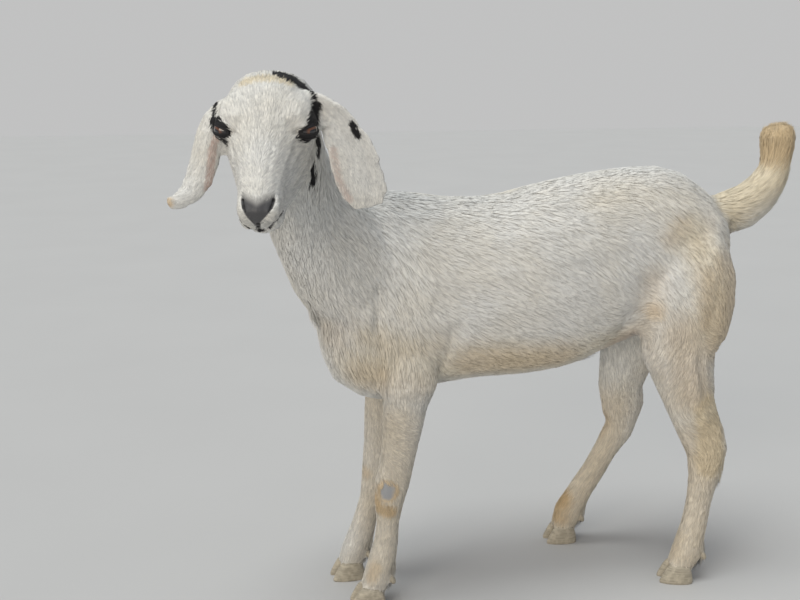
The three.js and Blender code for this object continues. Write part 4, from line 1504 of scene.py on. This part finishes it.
class Tufts:
    """One piece of coat: slim three-sided tufts, pointed at both ends, along the skin."""

    def __init__(self, surface, faces, weights, sizes, draw):
        self.root = root = surface.between(surface.points, faces, weights)
        self.spot = np.einsum("ij,ijk->ik", weights, surface.maps[faces])
        self.count = count = len(root)
        normal = unit(surface.between(surface.normals, faces, weights))
        depth = surface.between(surface.depth, faces, weights)[:, None] * MM
        longer = surface.between(surface.long, faces, weights)
        lie = surface.between(surface.lie, faces, weights)
        lie = unit(lie + comb_wobble(to_goat(root)) + draw.normal(0, STRAY, (count, 3)))
        lie = along_surface(lie, normal)
        length = ((sizes[:, 0] + longer) * MM * draw.uniform(*LENGTHS, count))[:, None]
        half = (sizes[:, 1] * MM * draw.uniform(*WIDTHS, count))[:, None] / 2
        middle, middle_normal = surface.settle(root + lie * length * BELLY)
        onward = along_surface(unit(middle - root), middle_normal)
        tip, tip_normal = surface.settle(middle + onward * length * (1 - BELLY))
        middle_rise = draw.uniform(*MIDDLE_RISE, count)[:, None] * depth
        tip_rise = draw.uniform(*TIP_RISE, count)[:, None] * depth
        self.stand = standing(to_goat(root))
        lift = self.stand * length * draw.uniform(*LIFTS, (count, 1))
        middle = middle + middle_normal * middle_rise + lift * MIDDLE_LIFT
        tip = tip + tip_normal * tip_rise + lift
        self.leader = leaders(root, draw)
        middle += (middle[self.leader] - middle) * MIDDLE_PULL
        tip += (tip[self.leader] - tip) * TIP_PULL
        self.middle = middle
        across = unit(np.cross(middle_normal, onward))
        sunk = root - normal * ROOT_DEPTH * MM
        left, right = middle + across * half, middle - across * half
        crest = middle + middle_normal * half * THICKNESS
        self.places = np.stack([sunk, left, right, crest, tip], axis=1)
        aside = across * LEAN
        facing = [normal, middle_normal + aside, middle_normal - aside, middle_normal, tip_normal]
        self.facing = unit(np.stack(facing, axis=1)).reshape(-1, 3)
        self.corners = self.places.shape[1]
        starts = np.arange(count)[:, None, None] * self.corners
        self.indices = (starts + TUFT_FACES).reshape(-1)

    def mesh(self, name):
        mesh = bpy.data.meshes.new(name)
        mesh.vertices.add(self.count * self.corners)
        mesh.vertices.foreach_set("co", self.places.astype(np.float32).ravel())
        mesh.loops.add(len(self.indices))
        mesh.loops.foreach_set("vertex_index", self.indices.astype(np.int32))
        mesh.polygons.add(len(self.indices) // 3)
        first = np.arange(0, len(self.indices), 3, dtype=np.int32)
        mesh.polygons.foreach_set("loop_start", first)
        mesh.update(calc_edges=True)
        mesh.shade_smooth()
        mesh.normals_split_custom_set_from_vertices(self.facing.astype(np.float32))
        maps = np.clip((self.spot[:, None, :] + TUFT_PATCH).reshape(-1, 2), 0.0, 1.0)
        layer = mesh.uv_layers.new(name="OFBake")
        layer.data.foreach_set("uv", maps[self.indices].astype(np.float32).ravel())
        return mesh

    def paint(self, mesh, contrast, draw):
        """Stores what colours each tuft: its tone, its place on the body and the markings."""
        strand = np.zeros((self.count, self.corners, 3))
        own = draw.uniform(0, 1, self.count)
        strand[:, :, 0] = ((1 - LOCK_TONE) * own + LOCK_TONE * own[self.leader])[:, None]
        # The place along the hair, by which the coat colour paints shade toward the root.
        strand[:, :, 1] = TUFT_STATIONS
        softer = STANDING_SOFTENS * np.minimum(np.linalg.norm(self.stand, axis=1), 1.0)
        strand[:, :, 2] = (contrast * (1 - softer))[:, None]
        goat = to_goat(self.middle)
        nearby = goat + draw.normal(0, FUZZ, (self.count, 3))
        marks = markings(nearby)
        # Tufts by the mouth's line and groove are black, partly as painted shade of their creases.
        marks[:, 0] = (marks[:, 0] > 0.5) | (coverage(goat, LIPS) > 0.4)
        pink, nose = coverage(nearby, PINK) * THIN, nose_pad(nearby)[0] * NOSE_TONE
        bare = np.stack([pink, nose, np.zeros(self.count)], axis=1)
        store(mesh, "strand", strand.reshape(-1, 3))
        for name, values in (("place", self.root), ("marks", marks), ("bare", bare)):
            store(mesh, name, np.repeat(values, self.corners, axis=0))


def comb_wobble(goat):
    """A slow wander of the hair, so that locks part and meet."""
    x, y, z = goat.T
    first = np.sin(x / 19 + 1.3 * np.sin(z / 23)) + np.sin(z / 14 + y / 17)
    second = np.sin(x / 31 + y / 13 + 2.0) + np.sin(z / 27 + 1.1 * np.sin(x / 21))
    return WANDER * np.stack([second, first, second - first], axis=1)


class GOAT_OT_coat(bpy.types.Operator):
    """Grow the coat in short locks that follow its lie"""

    bl_idname = "goat.coat"
    bl_label = "Coat"

    def execute(self, context):
        settings = context.scene.goat_coat
        surface = Surface(bpy.data.objects["skin"])
        material = hair_material(context.scene.goat_colours)
        draw = np.random.default_rng(SEED)
        middles = surface.points[surface.corners].mean(axis=1)
        side = np.sign(to_goat(middles)[:, 1])
        station = to_goat(middles)[:, 0]
        contrasts = by_part("contrast", 0.7)
        rates = by_part("count", 0.0)[surface.part]
        usual = np.stack([by_part("length", 6.0), by_part("width", 1.0)], axis=1)
        for piece, parts, half, (start, end) in COAT_PIECES:
            numbers = [PARTS.index(p) for p in parts]
            keep = np.isin(surface.part, numbers) & ((half == 0) | (side == half))
            keep &= (station >= start) & (station < end)
            weight = np.where(keep, surface.areas * rates * PER_SQUARE_METRE, 0.0)
            count = min(int(weight.sum() * settings.fineness), MOST_TUFTS)
            faces = draw.choice(len(weight), count, p=weight / weight.sum())
            first, second = draw.uniform(0, 1, (2, count))
            root = np.sqrt(first)
            weights = np.stack([1 - root, root * (1 - second), root * second], axis=1)
            goat = to_goat(surface.between(surface.points, faces, weights))
            kept = ~bald(goat)
            faces, weights = faces[kept], weights[kept]
            own = surface.part[faces]
            sizes = shortened(goat[kept], usual[own] * np.array([settings.length, 1.0]))
            tufts = Tufts(surface, faces, weights, sizes, draw)
            mesh = tufts.mesh(piece)
            tufts.paint(mesh, contrasts[own], draw)
            mesh.materials.append(material)
            made = add_object(piece, mesh)
            finish_piece(made)
        return {"FINISHED"}


def shortened(goat, sizes):
    """Hair is shorter toward the muzzle, by the lips and down the feet."""
    head = to_head(goat)
    muzzle = smooth_step((head[:, 0] - 20) / 70) * (np.abs(head[:, 1]) < 60) * (head[:, 2] > -90)
    lips = fade(np.min([line_distance(head, stroke[1]) for stroke in LIPS], axis=0), 7.5, 4.5)
    feet = fade(goat[:, 2], 90, 60)
    for share, loss in ((muzzle, MUZZLE_LOSS), (lips, LIP_LOSS), (feet, FOOT_LOSS)):
        sizes = sizes * (1 - share[:, None] * np.array(loss))
    return sizes


FLOOR_HALF = 9.0  # metres from the middle to the edge
SKY = (0.88, 0.91, 0.96)
KEY_FROM = Vector((-0.25, -0.12, 1.0))
KEY_COLOUR = (0.97, 1.0, 1.0)
FRONT_FROM = Vector((-0.62, -0.74, 0.26))
FRONT_COLOUR = (1.0, 0.91, 0.79)
LIGHT_SPREAD = 35.0  # degrees across
# The camera's place in the goat's millimetres, its turn from square-on, and its tilt down.
CAMERA = {"place": (-222.6, -1253.2, 660.0), "azimuth": -12.0, "pitch": 12.5, "lens": 48.6}


class GOAT_OT_stage(bpy.types.Operator):
    """Set the floor, the light and the camera"""

    bl_idname = "goat.stage"
    bl_label = "Stage"

    def execute(self, context):
        settings = context.scene.goat_stage
        plane = bmesh.new()
        bmesh.ops.create_grid(plane, x_segments=1, y_segments=1, size=FLOOR_HALF)
        mesh = bpy.data.meshes.new("floor")
        plane.to_mesh(mesh)
        plane.free()
        material, nodes, shader = new_material("floor")
        place = nodes.add("ShaderNodeTexCoord").outputs["Object"]
        clouds = nodes.spread(nodes.noise(place, 3.0), 0.3, 0.7)
        darker = rgba([c * 0.975 for c in settings.floor])
        colour = nodes.mix(clouds, rgba(settings.floor), darker)
        set_shader(nodes, shader, Base_Color=colour, Roughness=0.9)
        mesh.materials.append(material)
        add_object("floor", mesh)
        world = bpy.data.worlds.new("Studio")
        context.scene.world = world
        world.use_nodes = True
        nodes = Nodes(world.node_tree)
        seen = nodes.add("ShaderNodeLightPath").outputs["Is Camera Ray"]
        # Past its edge the floor goes on in the colour that the lights give it.
        lit = settings.key * KEY_FROM.normalized().z + settings.front * FRONT_FROM.normalized().z
        lit /= math.pi * settings.sky
        far = [(c + lit) * s for c, s in zip(SKY, settings.floor)]
        colour = nodes.mix(seen, rgba(SKY), rgba(far))
        background = world.node_tree.nodes["Background"]
        nodes.tree.links.new(colour, background.inputs["Color"])
        background.inputs["Strength"].default_value = settings.sky
        self.light("Key", settings.key, KEY_FROM, KEY_COLOUR)
        self.light("Front", settings.front, FRONT_FROM, FRONT_COLOUR)
        context.scene.view_settings.view_transform = "Standard"
        self.camera(context)
        return {"FINISHED"}

    @staticmethod
    def light(name, strength, source, colour):
        data = bpy.data.lights.new(name, "SUN")
        data.energy = strength
        data.angle = math.radians(LIGHT_SPREAD)
        data.color = colour
        made = bpy.data.objects.new(name, data)
        made.location = source
        made.rotation_euler = (-source).to_track_quat("-Z", "Y").to_euler()
        bpy.context.scene.collection.objects.link(made)

    @staticmethod
    def camera(context):
        azimuth, pitch = math.radians(CAMERA["azimuth"]), math.radians(CAMERA["pitch"])
        forward = Vector(
            (
                -math.sin(azimuth) * math.cos(pitch),
                math.cos(azimuth) * math.cos(pitch),
                -math.sin(pitch),
            )
        )
        data = bpy.data.cameras.new("Camera")
        data.sensor_width = 36.0
        data.lens = CAMERA["lens"]
        made = bpy.data.objects.new("Camera", data)
        made.location = from_goat(CAMERA["place"])
        made.rotation_euler = forward.to_track_quat("-Z", "Y").to_euler()
        context.scene.collection.objects.link(made)
        context.scene.camera = made


class GOAT_PT_panel(bpy.types.Panel):
    """Builders and settings of the goat"""

    bl_label = "Standing Goat"
    bl_idname = "GOAT_PT_panel"
    bl_space_type = "VIEW_3D"
    bl_region_type = "UI"
    bl_category = "Goat"

    def draw(self, context):
        for maker in MAKERS:
            self.layout.operator(maker.bl_idname)
        for group in (context.scene.goat_colours, context.scene.goat_coat, context.scene.goat_stage):
            box = self.layout.box()
            for name in group.__annotations__:
                box.prop(group, name)


SETTINGS = {"goat_colours": GoatColours, "goat_coat": GoatCoat, "goat_stage": GoatStage}
MAKERS = (GOAT_OT_stage, GOAT_OT_skin, GOAT_OT_eyes, GOAT_OT_hooves, GOAT_OT_coat)


def register():
    for group in SETTINGS.values():
        bpy.utils.register_class(group)
    for name, group in SETTINGS.items():
        setattr(bpy.types.Scene, name, bpy.props.PointerProperty(type=group))
    for maker in MAKERS:
        bpy.utils.register_class(maker)
    bpy.utils.register_class(GOAT_PT_panel)


def unregister():
    bpy.utils.unregister_class(GOAT_PT_panel)
    for maker in reversed(MAKERS):
        bpy.utils.unregister_class(maker)
    for name, group in SETTINGS.items():
        delattr(bpy.types.Scene, name)
        bpy.utils.unregister_class(group)


def main():
    register()
    bpy.ops.goat.stage()
    bpy.ops.goat.skin()
    bpy.ops.goat.eyes()
    bpy.ops.goat.hooves()
    bpy.ops.goat.coat()


if __name__ == "__main__":
    main()
